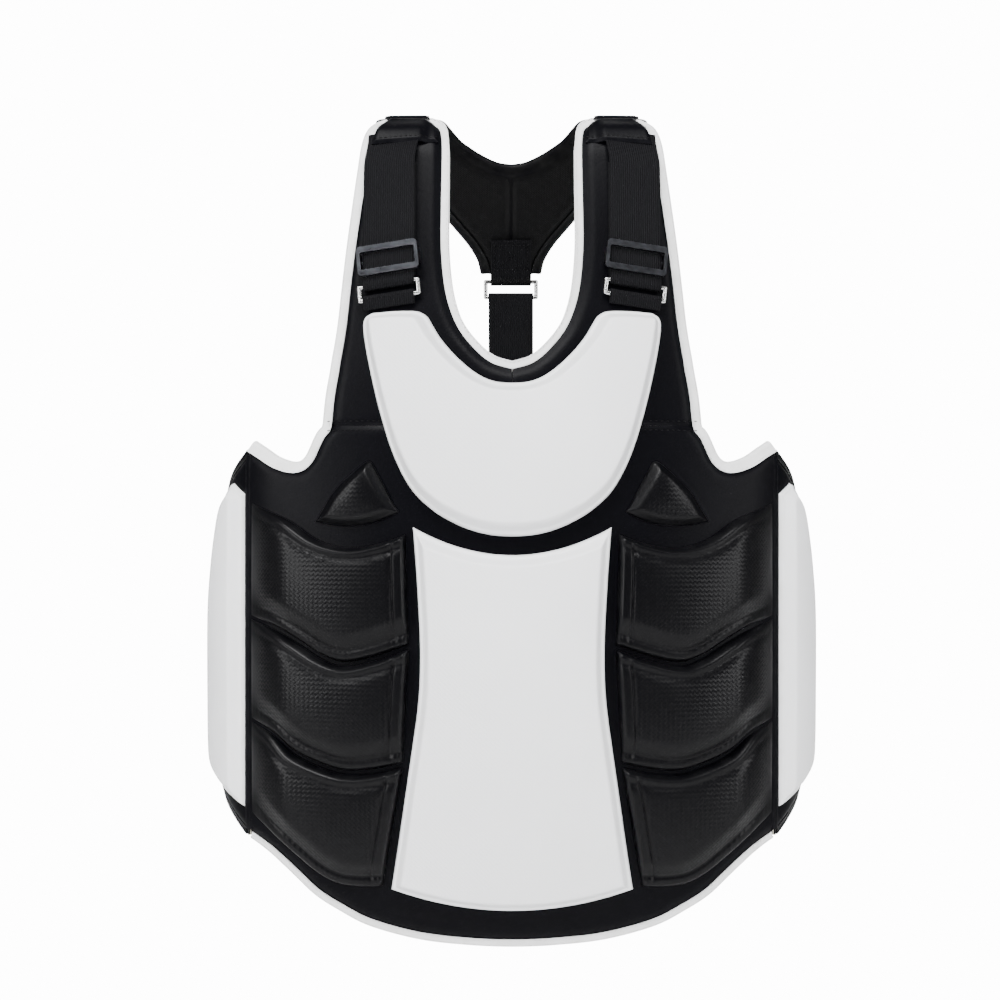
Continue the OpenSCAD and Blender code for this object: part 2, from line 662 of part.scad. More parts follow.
module back_strap() {
    bar = [back_strap_y, back_low_z];
    foot = back_strap_end * front_length / drawn_length;
    path = concat(
        [for (z = [foot, foot * 0.7, bar.y - 26]) [bar.x - strap_half, z]],
        [[bar.x - loop_r, bar.y - 3]], turn(bar, loop_r, 180, 0, 10),
        [[bar.x + loop_r, bar.y - 3]],
        [for (z = [bar.y - 26, bar.y - 48]) [bar.x + strap_half, z]]);
    color(webbing_colour)
        strip(path, back_webbing_w, webbing_t, function (x, p) upright(x, p));
}
module back_strap_patch() {
    foot = back_strap_end * front_length / drawn_length;
    face = back_strap_y - strap_half + webbing_t / 2 + 0.1;
    color(webbing_colour) translate([-back_webbing_w / 2 + 2, face, foot + 4])
        cube([back_webbing_w - 4, patch_t * 0.8, 75]);
}

trunk_lining();
trunk_board();
trunk_cover();
left() flap_lining();  // flap_lining_left
right() flap_lining();  // flap_lining_right
left() flap_board();  // flap_board_left
right() flap_board();  // flap_board_right
left() flap_cover();  // flap_cover_left
right() flap_cover();  // flap_cover_right
left() shoulder_cap();  // shoulder_cap_left
right() shoulder_cap();  // shoulder_cap_right
chest_pad_foam();
chest_pad_cover();
belly_pad_foam();
belly_pad_cover();
left() rib_foams();  // rib_foams_left
right() rib_foams();  // rib_foams_right
left() rib_cover(upper_rib_rows);  // upper_rib_cover_left
right() rib_cover(upper_rib_rows);  // upper_rib_cover_right
left() rib_cover(middle_rib_rows);  // middle_rib_cover_left
right() rib_cover(middle_rib_rows);  // middle_rib_cover_right
left() rib_cover(lower_rib_rows);  // lower_rib_cover_left
right() rib_cover(lower_rib_rows);  // lower_rib_cover_right
left() corner_pad_cover();  // corner_pad_cover_left
right() corner_pad_cover();  // corner_pad_cover_right
neck_binding();
hem_binding();
left() armhole_binding();  // armhole_binding_left
right() armhole_binding();  // armhole_binding_right
left() shoulder_webbing();  // shoulder_webbing_left
right() shoulder_webbing();  // shoulder_webbing_right
left() ring_tab();  // ring_tab_left
right() ring_tab();  // ring_tab_right
left() shoulder_slider();  // slider_left
right() shoulder_slider();  // slider_right
left() shoulder_ring();  // ring_left
right() shoulder_ring();  // ring_right
left() wing_lining();  // wing_lining_left
right() wing_lining();  // wing_lining_right
left() wing_board();  // wing_board_left
right() wing_board();  // wing_board_right
left() wing_cover();  // wing_cover_left
right() wing_cover();  // wing_cover_right
left() wing_pad_foam();  // wing_pad_foam_left
right() wing_pad_foam();  // wing_pad_foam_right
left() wing_pad_cover();  // wing_pad_cover_left
right() wing_pad_cover();  // wing_pad_cover_right
belt();
belt_hook_patch();
belt_tab();
belt_pile_patch();
yoke_lining();
yoke_board();
yoke_cover();
yoke_binding();
yoke_tab();
back_ring();
back_strap();
back_strap_patch();
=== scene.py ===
import math
import bmesh
import bpy
import numpy as np
from mathutils import Matrix, Vector


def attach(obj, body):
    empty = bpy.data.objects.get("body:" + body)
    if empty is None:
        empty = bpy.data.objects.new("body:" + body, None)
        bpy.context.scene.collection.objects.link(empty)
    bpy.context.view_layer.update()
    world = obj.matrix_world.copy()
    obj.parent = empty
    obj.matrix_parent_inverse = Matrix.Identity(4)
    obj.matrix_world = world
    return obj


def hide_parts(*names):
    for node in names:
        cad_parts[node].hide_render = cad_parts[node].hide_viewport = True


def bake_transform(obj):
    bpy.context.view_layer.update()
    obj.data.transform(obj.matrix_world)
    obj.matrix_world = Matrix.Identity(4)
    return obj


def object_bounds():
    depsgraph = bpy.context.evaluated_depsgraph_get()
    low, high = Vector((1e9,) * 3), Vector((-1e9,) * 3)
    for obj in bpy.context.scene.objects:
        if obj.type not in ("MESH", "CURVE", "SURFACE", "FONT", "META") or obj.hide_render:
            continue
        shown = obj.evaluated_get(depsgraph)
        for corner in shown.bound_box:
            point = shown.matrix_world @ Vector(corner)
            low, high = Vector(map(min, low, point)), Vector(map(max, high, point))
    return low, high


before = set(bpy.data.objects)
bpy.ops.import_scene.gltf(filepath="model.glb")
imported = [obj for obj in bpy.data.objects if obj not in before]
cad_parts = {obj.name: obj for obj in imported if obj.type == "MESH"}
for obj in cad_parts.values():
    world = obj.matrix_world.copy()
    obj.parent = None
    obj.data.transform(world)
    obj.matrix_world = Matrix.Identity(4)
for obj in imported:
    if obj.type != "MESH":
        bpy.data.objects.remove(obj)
cad_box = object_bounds()

# ---------------- floor, light and camera
# A white studio: one sheet that is floor and back wall, soft lamps above and at both sides,
# and a camera straight in front at the height of the lower ribs.
def blank_material(name):
    """A new material with its node tree and its one shader."""
    m = bpy.data.materials.new(name)
    m.use_nodes = True
    return m, m.node_tree, m.node_tree.nodes["Principled BSDF"]


def fill(tree, node, **inputs):
    """Fills a node's inputs with values or other sockets. n0 is its first input."""
    for key, value in inputs.items():
        key = int(key[1:]) if key[0] == "n" and key[1:].isdigit() else key.replace("_", " ")
        if isinstance(value, bpy.types.NodeSocket):
            tree.links.new(value, node.inputs[key])
        else:
            node.inputs[key].default_value = value


def wire(tree, kind, settings=None, **inputs):
    """Adds a node, sets its properties and fills its inputs."""
    node = tree.nodes.new(kind)
    for key, value in (settings or {}).items():
        setattr(node, key, value)
    fill(tree, node, **inputs)
    return node


def maths(tree, operation, *values, clamp=False):
    """The result of one sum on values or sockets."""
    numbers = {f"n{i}": value for i, value in enumerate(values)}
    settings = {"operation": operation, "use_clamp": clamp}
    return wire(tree, "ShaderNodeMath", settings, **numbers).outputs[0]


def two_tones(tree, share, low, high):
    """Two colours, or sockets, mixed by a share from 0 to 1."""
    low, high = (c if isinstance(c, bpy.types.NodeSocket) else (*c, 1) for c in (low, high))
    settings = {"data_type": "RGBA"}
    return wire(tree, "ShaderNodeMix", settings, n0=share, n6=low, n7=high).outputs[2]


def finish_mesh(bm, name, material, sharp=55):
    mesh = bpy.data.meshes.new(name)
    bm.to_mesh(mesh)
    bm.free()
    obj = bpy.data.objects.new(name, mesh)
    bpy.context.scene.collection.objects.link(obj)
    mesh.materials.append(material)
    mesh.shade_smooth()
    mesh.set_sharp_from_angle(angle=math.radians(sharp))
    return obj


bm = bmesh.new()
bmesh.ops.create_grid(bm, x_segments=2, y_segments=24, size=4)
bend_r, floor_z = 1.5, cad_box[0][2] - 0.35
for vert in bm.verts:
    run = vert.co.y + 1.2
    turn = min(max(run / bend_r, 0), math.pi / 2)
    vert.co.y = min(run, 0) + bend_r * math.sin(turn) + 0.9
    wall = max(run - bend_r * math.pi / 2, 0) * 1.4
    vert.co.z = bend_r * (1 - math.cos(turn)) + wall + floor_z
backdrop_glow = 14.0
paper, tree, shader = blank_material("backdrop_paper")
fill(tree, shader, Base_Color=(0.93, 0.93, 0.93, 1), Roughness=0.9)
seen = wire(tree, "ShaderNodeLightPath")
glow = wire(tree, "ShaderNodeEmission", Strength=backdrop_glow)
either = wire(tree, "ShaderNodeMixShader", n0=seen.outputs["Is Camera Ray"],
              n1=shader.outputs[0], n2=glow.outputs[0])
fill(tree, tree.nodes["Material Output"], Surface=either.outputs[0])
backdrop = finish_mesh(bm, "backdrop", paper)

world = bpy.data.worlds.new("studio")
world.use_nodes = True
bpy.context.scene.world = world
tree = world.node_tree
seen = wire(tree, "ShaderNodeLightPath")
level = wire(tree, "ShaderNodeMapRange", Value=seen.outputs["Is Camera Ray"], To_Min=0.12,
             To_Max=backdrop_glow)
fill(tree, tree.nodes["Background"], Color=(1, 1, 1, 1), Strength=level.outputs[0])


def lamp(name, place, aim, size, watts, mirrored_too=True):
    light = bpy.data.lights.new(name, "AREA")
    light.shape = "RECTANGLE"
    light.size, light.size_y = size
    light.energy = watts
    obj = bpy.data.objects.new(name, light)
    obj.location = place
    obj.rotation_euler = (Vector(aim) - Vector(place)).to_track_quat("-Z", "Y").to_euler()
    obj.visible_glossy = mirrored_too
    bpy.context.scene.collection.objects.link(obj)


lamp("top_softbox", (-0.25, -1.15, 1.45), (0, -0.1, -0.25), (1.5, 0.8), 92)
lamp("front_fill", (0.2, -2.6, -0.1), (0, -0.1, -0.35), (1.6, 1.6), 64, False)
lamp("left_softbox", (-1.7, -1.1, 0.2), (0, -0.1, -0.3), (0.5, 1.5), 36)
lamp("right_softbox", (1.8, -1.0, 0.1), (0, -0.1, -0.3), (0.5, 1.5), 28)
lamp("back_softbox", (0.3, 2.2, 0.9), (0, 0.1, -0.2), (1.6, 1.2), 60)

camera = bpy.data.objects.new("camera", bpy.data.cameras.new("camera"))
camera.data.sensor_width = 36
camera.data.lens = 85.26
camera.location = (-0.0087, -1.7815, -0.281)
camera.rotation_euler = (math.pi / 2, 0, 0)
bpy.context.scene.collection.objects.link(camera)
bpy.context.scene.camera = camera

# ---------------- front shell: trunk
# The trunk is a foam board between a knitted lining and a smooth leather cover, cut flat and
# bent round the chest. Its edges are pressed thin where the binding and the seams grip it.
half_width, depth, side_r, barrel_r = 210.0, 118.0, 85.0, 1100.0
shoulder_r, lean, yoke_r, yoke_turn = 48.0, math.radians(18), 350.0, math.radians(40)
side_x = half_width - side_r
front_r = (depth ** 2 + side_x ** 2 - side_r ** 2) / (2 * (depth - side_r))
front_turn = math.asin(side_x / (front_r - side_r))
front_x = front_r * math.sin(front_turn)
flex_a = front_x + side_r * (math.radians(44.3) - front_turn)
roll_low = -shoulder_r * (1 - math.sin(lean))
roll_top = roll_low + shoulder_r * (math.pi / 2 - lean)
barrel_z = roll_low - barrel_r * math.sin(lean)
top_y = -depth + barrel_r * (1 - math.cos(lean)) + shoulder_r * math.cos(lean)
yoke_from = roll_top + shoulder_r * yoke_turn
lining_in, lining_out, cover_out = 0.0, 1.2, 12.2
ply, air = 1.2, 0.2
sides = (1, "left"), (-1, "right")


def smooth(t):
    t = np.clip(t, 0, 1)
    return t * t * (3 - 2 * t)


def form(a, h):
    """The lining's inner face at width a and height h of the flat pattern, in millimetres."""
    s = np.abs(a)
    turned = front_turn + (s - front_x) / side_r
    x = np.where(s <= front_x, a, np.sign(a) * (side_x + side_r * np.sin(turned)))
    sides = np.where(s <= front_x, front_r - np.sqrt(np.maximum(front_r ** 2 - s * s, 1)),
                     depth - side_r * np.cos(turned))
    p = (h - roll_top) / shoulder_r
    q = yoke_turn + (h - yoke_from) / yoke_r
    where = [h <= roll_low, h <= yoke_from]
    y = np.select(where, [
        barrel_r - depth - np.sqrt(barrel_r ** 2 - (h - barrel_z) ** 2),
        top_y + shoulder_r * np.sin(p)],
        top_y + shoulder_r * math.sin(yoke_turn) + yoke_r * (np.sin(q) - math.sin(yoke_turn)))
    z = np.select(where, [h, -shoulder_r * (1 - np.cos(p))],
                  -shoulder_r * (1 - math.cos(yoke_turn))
                  - yoke_r * (math.cos(yoke_turn) - np.cos(q)))
    keep = 1 - (1 - smooth((h + 240) / 90)) * np.minimum(1, (a / flex_a) ** 2)
    turn = 1 - 1.4 * smooth((h + 140) / 230)
    return np.stack([x, keep * (y + depth) - depth + turn * sides, z], -1)


def outward(a, h):
    e = 0.05
    v = np.cross(form(a + e, h) - form(a - e, h), form(a, h + e) - form(a, h - e))
    return v / np.linalg.norm(v, axis=-1, keepdims=True)


def at(a, h, d):
    """A place d above the inner face, in metres."""
    a, h, d = (np.asarray(n, float) for n in np.broadcast_arrays(a, h, d))
    return (form(a, h) + outward(a, h) * d[..., None] - [0, top_y, 0]) / 1000


def ribs_at(runs, v):
    """The rib at share v of a panel's length. Every run of ribs is one smooth stretch."""
    pieces, lengths = [], []
    for ribs in runs:
        ribs = np.array(ribs, float)
        ends = np.concatenate([[2 * ribs[0] - ribs[1]], ribs, [2 * ribs[-1] - ribs[-2]]])
        middle = ribs.mean(axis=1)
        for i in range(len(ribs) - 1):
            pieces.append(ends[i:i + 4])
            lengths.append(np.linalg.norm(middle[i + 1] - middle[i]))
    pieces, so_far = np.array(pieces), np.concatenate([[0], np.cumsum(lengths)])
    run = np.clip(v, 0, 1) * so_far[-1]
    i = np.clip(np.searchsorted(so_far, run, side="right") - 1, 0, len(pieces) - 1)
    t = ((run - so_far[i]) / (so_far[i + 1] - so_far[i]))[:, None, None]
    p0, p1, p2, p3 = (pieces[i, j] for j in range(4))
    rib = p1 + 0.5 * t * ((p2 - p0) + t * ((2 * p0 - 5 * p1 + 4 * p2 - p3)
                                           + t * (3 * p1 - p0 - 3 * p2 + p3)))
    return rib, so_far[-1]


def pattern(runs, u, v):
    rib, _ = ribs_at(runs, v)
    u = u[:, None]
    if rib.shape[1] == 2:
        return rib[:, 0] * (1 - u) + rib[:, 1] * u
    return (rib[:, 0] * (2 * u * u - 3 * u + 1) + rib[:, 1] * (4 * u - 4 * u * u)
            + rib[:, 2] * (2 * u * u - u))


def edge_line(runs, u, n=160):
    return pattern(runs, np.full(n + 1, float(u)), np.linspace(0, 1, n + 1))


def distance(points, line):
    """How far each point of the pattern lies from a line of points."""
    p, q = line[:-1], line[1:]
    along = q - p
    size = np.maximum((along ** 2).sum(1), 1e-9)
    best = np.full(len(points), 1e9)
    for i in range(len(p)):
        t = np.clip(((points - p[i]) @ along[i]) / size[i], 0, 1)
        best = np.minimum(best, np.linalg.norm(points - p[i] - t[:, None] * along[i], axis=1))
    return best


def crowd(t, share, edge):
    """Moves grid lines towards both ends, so that a share of them lies on the narrow rim."""
    middle = edge + (t - share) / (1 - 2 * share) * (1 - 2 * edge)
    return np.where(t < share, t / share * edge,
                    np.where(t > 1 - share, 1 - (1 - t) / share * edge, middle))


def panel(name, runs, nu, nv, top, bottom, material, rim=0, lines=0, side=1, crown=0.0):
    """A closed sheet or pad over a pattern. top and bottom give heights from the distance to
    the outline and from the pattern's own points, and crown swells the middle of the top.
    side mirrors it to the wearer's right."""
    bm = bmesh.new()
    bmesh.ops.create_grid(bm, x_segments=nu, y_segments=nv, size=0.5)
    u, v = (np.array([vert.co[k] for vert in bm.verts]) + 0.5 for k in (0, 1))
    if lines:
        v = crowd(v, lines / nv, rim / ribs_at(runs, v)[1])
        rib, _ = ribs_at(runs, v)
        u = crowd(u, lines / nu,
                  np.minimum(0.4, rim / np.linalg.norm(rib[:, -1] - rib[:, 0], axis=1)))
    points = pattern(runs, u, v)
    edge = distance(points, outline_of(runs))
    dome = crown * (np.sin(math.pi * u).clip(0) * np.sin(math.pi * v).clip(0)) ** 0.75
    places = [at(side * points[:, 0], points[:, 1], level(edge, points) + extra)
              for level, extra in ((top, dome), (bottom, 0))]
    number = bm.verts.layers.int.new("number")
    rim_layer = bm.verts.layers.float.new("edge")
    for i, vert in enumerate(bm.verts):
        vert[number], vert[rim_layer], vert.co = i, edge[i], places[0][i]
    made = bmesh.ops.duplicate(bm, geom=bm.verts[:] + bm.edges[:] + bm.faces[:])["geom"]
    for vert in made:
        if isinstance(vert, bmesh.types.BMVert):
            vert.co = places[1][vert[number]]
    bmesh.ops.bridge_loops(bm, edges=[e for e in bm.edges if len(e.link_faces) == 1])
    flat = bm.loops.layers.uv.new("pattern")
    for face in bm.faces:
        for loop in face.loops:
            p = points[loop.vert[number]]
            loop[flat].uv = (side * p[0] / 1000, p[1] / 1000)
    bmesh.ops.recalc_face_normals(bm, faces=bm.faces[:])
    return finish_mesh(bm, name, material)


def outline_of(runs):
    s = np.linspace(0, 1, 60)
    return np.concatenate([pattern(runs, s, s * 0), edge_line(runs, 1),
                           pattern(runs, 1 - s, s * 0 + 1), edge_line(runs, 0)[::-1]])


def cut_cloth(runs):
    """Reads a lining's flat outline in metres; nothing is made from it."""
    x, y = outline_of(runs).T / 1000


def mirrored(ribs):
    return [[(-x, y) for x, y in rib] for rib in reversed(ribs)]


def node_group(name, inputs, outputs):
    group = bpy.data.node_groups.new(name, "ShaderNodeTree")
    for direction, sockets in (("INPUT", inputs), ("OUTPUT", outputs)):
        for label, kind, value in sockets:
            socket = group.interface.new_socket(label, in_out=direction, socket_type=kind)
            if value is not None:
                socket.default_value = value
    return group, group.nodes.new("NodeGroupInput"), group.nodes.new("NodeGroupOutput")


# Leather grain: soft pebbles with fine creases between them
grain, g_in, g_out = node_group(
    "Leather grain", [("Vector", "NodeSocketVector", None), ("Size", "NodeSocketFloat", 700)],
    [("Height", "NodeSocketFloat", None), ("Patch", "NodeSocketFloat", None)])
pebble = wire(grain, "ShaderNodeTexVoronoi", {"feature": "SMOOTH_F1"},
              Vector=g_in.outputs["Vector"], Scale=g_in.outputs["Size"], Smoothness=0.6)
fine = wire(grain, "ShaderNodeTexNoise", Vector=g_in.outputs["Vector"],
            Scale=g_in.outputs["Size"], Detail=4.0)
both = maths(grain, "MULTIPLY_ADD", fine.outputs["Fac"], 0.5, pebble.outputs["Distance"])
patch = wire(grain, "ShaderNodeTexNoise", Vector=g_in.outputs["Vector"], Scale=9.0, Detail=3.0)
fill(grain, g_out, Height=both, Patch=patch.outputs["Fac"])

# Diamond weave: ridges that cross on the bias and change direction in small squares
weave, w_in, w_out = node_group(
    "Diamond weave", [("Vector", "NodeSocketVector", None), ("Pitch", "NodeSocketFloat", 330)],
    [("Height", "NodeSocketFloat", None)])
turned = wire(weave, "ShaderNodeMapping", Vector=w_in.outputs["Vector"],
              Rotation=(0, 0, math.radians(45)))
scaled = wire(weave, "ShaderNodeVectorMath", {"operation": "SCALE"}, n0=turned.outputs[0],
              Scale=w_in.outputs["Pitch"])
split = wire(weave, "ShaderNodeSeparateXYZ", n0=scaled.outputs[0])
checks = wire(weave, "ShaderNodeTexChecker", Vector=scaled.outputs[0], Scale=1.0)
waves = []
for axis in (0, 1):
    angle = maths(weave, "MULTIPLY", split.outputs[axis], math.pi)
    waves.append(maths(weave, "ABSOLUTE", maths(weave, "SINE", angle)))
picked = wire(weave, "ShaderNodeMix", {"data_type": "FLOAT"}, n0=checks.outputs["Fac"],
              n2=waves[0], n3=waves[1])
fill(weave, w_out, Height=picked.outputs[0])

# Edge wear: a broken line along a piece's outline, read from its own edge distance
wear, e_in, e_out = node_group(
    "Edge wear", [("Vector", "NodeSocketVector", None), ("Edge", "NodeSocketFloat", 10),
                  ("Width", "NodeSocketFloat", 3)], [("Mask", "NodeSocketFloat", None)])
near = maths(wear, "DIVIDE", e_in.outputs["Edge"], e_in.outputs["Width"])
left = maths(wear, "SUBTRACT", 1.0, near, clamp=True)
rubs = wire(wear, "ShaderNodeTexNoise", Vector=e_in.outputs["Vector"], Scale=60.0, Detail=5.0)
rubbed = wire(wear, "ShaderNodeMapRange", Value=rubs.outputs["Fac"], From_Min=0.42,
              From_Max=0.7)
fill(wear, e_out, Mask=maths(wear, "MULTIPLY", left, rubbed.outputs[0], clamp=True))


def leather(name, colour, worn, rough, pitch=330, weave_depth=0.0, grain_size=700,
            grain_depth=0.05, coat=0.0, shine=0.3):
    """Coated leather: grain, an embossed weave, uneven gloss and rubbed edges."""
    m, tree, shader = blank_material(name)
    flat = wire(tree, "ShaderNodeUVMap", {"uv_map": "pattern"}).outputs[0]
    edge = wire(tree, "ShaderNodeAttribute", {"attribute_name": "edge"}).outputs["Fac"]
    skin = wire(tree, "ShaderNodeGroup", {"node_tree": grain}, Vector=flat, Size=grain_size)
    rubs = wire(tree, "ShaderNodeGroup", {"node_tree": wear}, Vector=flat, Edge=edge,
                Width=3.0)
    tint = two_tones(tree, skin.outputs["Patch"], [c * 0.93 for c in colour],
                     [min(1, c * 1.05) for c in colour])
    gloss = wire(tree, "ShaderNodeMapRange", Value=skin.outputs["Patch"], To_Min=rough - 0.05,
                 To_Max=rough + 0.07)
    height = maths(tree, "MULTIPLY", skin.outputs["Height"], grain_depth)
    if weave_depth:
        ridges = wire(tree, "ShaderNodeGroup", {"node_tree": weave}, Vector=flat, Pitch=pitch)
        inside = wire(tree, "ShaderNodeMapRange", Value=edge, From_Min=3.0, From_Max=11.0,
                      To_Max=weave_depth)
        height = maths(tree, "MULTIPLY_ADD", ridges.outputs["Height"], inside.outputs[0], height)
    bump = wire(tree, "ShaderNodeBump", Height=height, Distance=0.001)
    fill(tree, shader, Base_Color=two_tones(tree, rubs.outputs["Mask"], tint, worn),
         Roughness=gloss.outputs[0], Normal=bump.outputs[0], Specular_IOR_Level=shine,
         Coat_Weight=coat, Coat_Roughness=0.3)
    return m


black_leather = leather("black_leather", (0.0016, 0.0016, 0.0024), (0.005, 0.005, 0.006), 0.38,
                        shine=0.05)
lining_cloth = leather("lining_cloth", (0.02, 0.02, 0.021), (0.035, 0.035, 0.036), 0.75,
                       pitch=380, weave_depth=0.6, grain_depth=0.1, shine=0.12)
board_foam = leather("board_foam", (0.6, 0.58, 0.5), (0.48, 0.46, 0.38), 0.85, grain_size=260,
                     grain_depth=0.4, shine=0.1)


def fasten(obj, body, slot, *nodes):
    """Hides the nodes a piece stands for and hangs it on the body it moves with. slot is not used.
    """
    if nodes:
        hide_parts(*nodes)
    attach(obj, body)


def three_plies(name, node, runs, sizes, top, pressed, body, side=1, cloth=lining_cloth):
    """The cover, lining and board of one panel, pressed together along its edges."""
    made = []
    for part, stuff, high, low, material, slot in (
            ("cover", "leather", top, lambda e, p: top(e, p) - ply, black_leather,
             "black_leather"),
            ("lining", "cloth", lambda e, p: lining_out + pressed(p),
             lambda e, p: lining_in + pressed(p), cloth, "lining_cloth"),
            ("board", "foam", lambda e, p: top(e, p) - ply - air,
             lambda e, p: lining_out + air + pressed(p), board_foam, "board_foam")):
        obj = panel(name.format(part, stuff), runs, *sizes[len(made)], high, low, material,
                    side=side)
        fasten(obj, body, slot, *([node.format(part)] if node else []))
        made.append(obj)
    cut_cloth(runs)


seam = -229.0
trunk_high, flap_foot = seam - 0.1, seam + 0.1
trunk_half = [
    [(30, trunk_high), (30, -595.5)], [(65, trunk_high), (65, -592)],
    [(100, trunk_high), (100, -583.5)], [(126, trunk_high), (122, -573)],
    [(135, -234), (138, -563.5)], [(144, -252), (151, -552)], [(153, -257), (160, -544)],
    [(166, -253.5), (170, -536)], [(179, -246), (180, -530)], [(188.6, -241), (188.6, -526)]]
trunk_ribs = [mirrored(trunk_half) + [[(0, trunk_high), (0, -596.5)]] + trunk_half]
hem_line = edge_line(trunk_ribs, 1, 240)
top_line = edge_line(trunk_ribs, 0, 240)
arm_part = top_line[top_line[:, 0] > 131]
seam_part = top_line[np.abs(top_line[:, 0]) < 134]
both_arms = [arm_part, arm_part * [-1, 1]]


def pinch(t, deep=3.6, wide=11.0):
    """How far an edge is pressed in at distance t."""
    return deep * (1 - smooth(t / wide)) ** 1.5


def trunk_pressed(points):
    t = np.minimum.reduce([distance(points, line) for line in [hem_line, *both_arms]])
    return pinch(t)


def trunk_top(edge, points):
    stitched = distance(points, seam_part)
    return cover_out - trunk_pressed(points) - 1.6 * (1 - smooth(stitched / 4))


three_plies("trunk_{}_{}", "trunk_{}", trunk_ribs, ((150, 120), (110, 90), (90, 70)), trunk_top,
            trunk_pressed, "shell")

# ---------------- front shell: shoulder flaps
# Two flaps go up from the chest seam to the shoulder tops, one on each side of the neck.
# They have the trunk's three plies and are sewn to it and to each other.
flap_low = [[(0.3, flap_foot), (131, flap_foot)], [(0.3, -208), (129, -208)],
            [(0.3, -187), (126, -190)]]
flap_high = [
    [(0.3, -187), (126, -190)], [(14, -182.5), (124.5, -180)], [(26, -172), (122.5, -168)],
    [(37, -156.5), (120.5, -153)], [(44.5, -134), (118.5, -132)], [(48, -104), (115.5, -101)],
    [(48.5, -74), (112.5, -74)], [(48.5, -44), (109, -44)], [(49, -22), (106, -21)],
    [(52, -9.5), (101.5, -8)], [(61, -2.5), (92, -0.5)]]
flap_ribs = [flap_low, flap_high]
flap_arm = edge_line(flap_ribs, 1)
neck_edge = edge_line([flap_high], 0, 200)


def flap_pressed(points):
    return pinch(np.minimum(distance(points, flap_arm), distance(points, neck_edge)))


def flap_top(edge, points):
    return cover_out - flap_pressed(points) - 1.6 * (1 - smooth((points[:, 1] - seam) / 4))


for side, word in sides:
    three_plies("flap_{}_{}_" + word, "flap_{}_" + word, flap_ribs, ((40, 90), (30, 70), (24, 60)),
                flap_top, flap_pressed, "shell", side)

# ---------------- edge bindings
# White tape folded over the edges of the neck, the armholes and the hem, and sewn through
# with one row of stitches near its lip.
def sweep(name, loops, material, sharp=45):
    """A closed skin through a row of loops of points, welded round and capped at both ends."""
    loops = np.asarray(loops)
    rows, n = loops.shape[:2]
    around = np.linalg.norm(np.diff(loops[rows // 2][list(range(n)) + [0]], axis=0), axis=1)
    around = np.concatenate([[0], np.cumsum(around)])
    along = np.linalg.norm(np.diff(loops.mean(axis=1), axis=0), axis=1)
    along = np.concatenate([[0], np.cumsum(along)])
    bm = bmesh.new()
    bmesh.ops.create_grid(bm, x_segments=n, y_segments=rows - 1, size=0.5)
    flat = bm.loops.layers.uv.new("pattern")
    number = bm.verts.layers.int.new("number")
    for vert in bm.verts:
        i, j = round((vert.co.x + 0.5) * n), round((vert.co.y + 0.5) * (rows - 1))
        vert[number] = i * rows + j
        vert.co = loops[j][i % n]
    for face in bm.faces:
        for loop in face.loops:
            i, j = divmod(loop.vert[number], rows)
            loop[flat].uv = (around[i], along[j])
    bmesh.ops.remove_doubles(bm, verts=bm.verts[:], dist=1e-6)
    bmesh.ops.holes_fill(bm, edges=[e for e in bm.edges if len(e.link_faces) == 1])
    bmesh.ops.recalc_face_normals(bm, faces=bm.faces[:])
    return finish_mesh(bm, name, material, sharp)


def evenly(path, spacing):
    """The same line with points an even distance apart."""
    path = np.asarray(path, float)
    run = np.concatenate([[0], np.cumsum(np.linalg.norm(np.diff(path, axis=0), axis=1))])
    n = max(2, int(round(run[-1] / spacing)) + 1)
    s = np.linspace(0, run[-1], n)
    return np.stack([np.interp(s, run, path[:, k]) for k in range(path.shape[1])], -1)


def inwards(path, way):
    """The direction across a line, pointing into the panel."""
    step = np.gradient(path, axis=0)
    for _ in range(2):
        step[1:-1] = (step[:-2] + 2 * step[1:-1] + step[2:]) / 4
    return way * np.stack([-step[:, 1], step[:, 0]], -1) / np.linalg.norm(step, axis=1)[:, None]


def folded_tape(name, path, way, material, side=1, lip=6.0, thick=1.0, press=3.6, flat=None):
    """Tape folded over the edge along a path. lip is how far each side of it reaches in."""
    path = evenly(path, 3.0)
    across = inwards(path, way)
    gap = 0.15
    lips = np.array([lip, lip * 0.66, lip * 0.33, 0.0])
    upper = cover_out - pinch(lips, press)
    lower = lining_in + pinch(lips, press)
    middle, radius = (upper[-1] + lower[-1]) / 2, (upper[-1] - lower[-1]) / 2
    swing = np.radians(np.linspace(75, -75, 9))

    def skin(off):
        return ([(t, d + off) for t, d in zip(lips, upper)]
                + [(-(radius + off) * math.cos(s), middle + (radius + off) * math.sin(s))
                   for s in swing]
                + [(t, d - off) for t, d in zip(lips[::-1], lower[::-1])])

    section = np.array(skin(gap + thick) + skin(gap)[::-1])
    a = path[:, 0, None] + across[:, 0, None] * section[:, 0]
    h = path[:, 1, None] + across[:, 1, None] * section[:, 0]
    depth_ = section[:, 1] * (flat(h) if flat else 1)
    return sweep(name, at(side * a, h, np.broadcast_to(depth_, a.shape)), material)


def thread_bars(name, rows, material):
    """One small rounded bar for each stitch. rows holds (place, along, out, length, width)."""
    bm = bmesh.new()
    for place, along, out, length, width in rows:
        out = out / np.linalg.norm(out)
        along = along / np.linalg.norm(along)
        across = np.cross(out, along)
        across /= np.linalg.norm(across)
        m = Matrix.Identity(4)
        up = np.cross(along, across)
        for k, axis in enumerate((along * length, across * width, up * width)):
            for r in range(3):
                m[r][k] = axis[r]
        for r in range(3):
            m[r][3] = place[r]
        bmesh.ops.create_icosphere(bm, subdivisions=1, radius=0.5, matrix=m)
    bmesh.ops.recalc_face_normals(bm, faces=bm.faces[:])
    return finish_mesh(bm, name, material, 80)


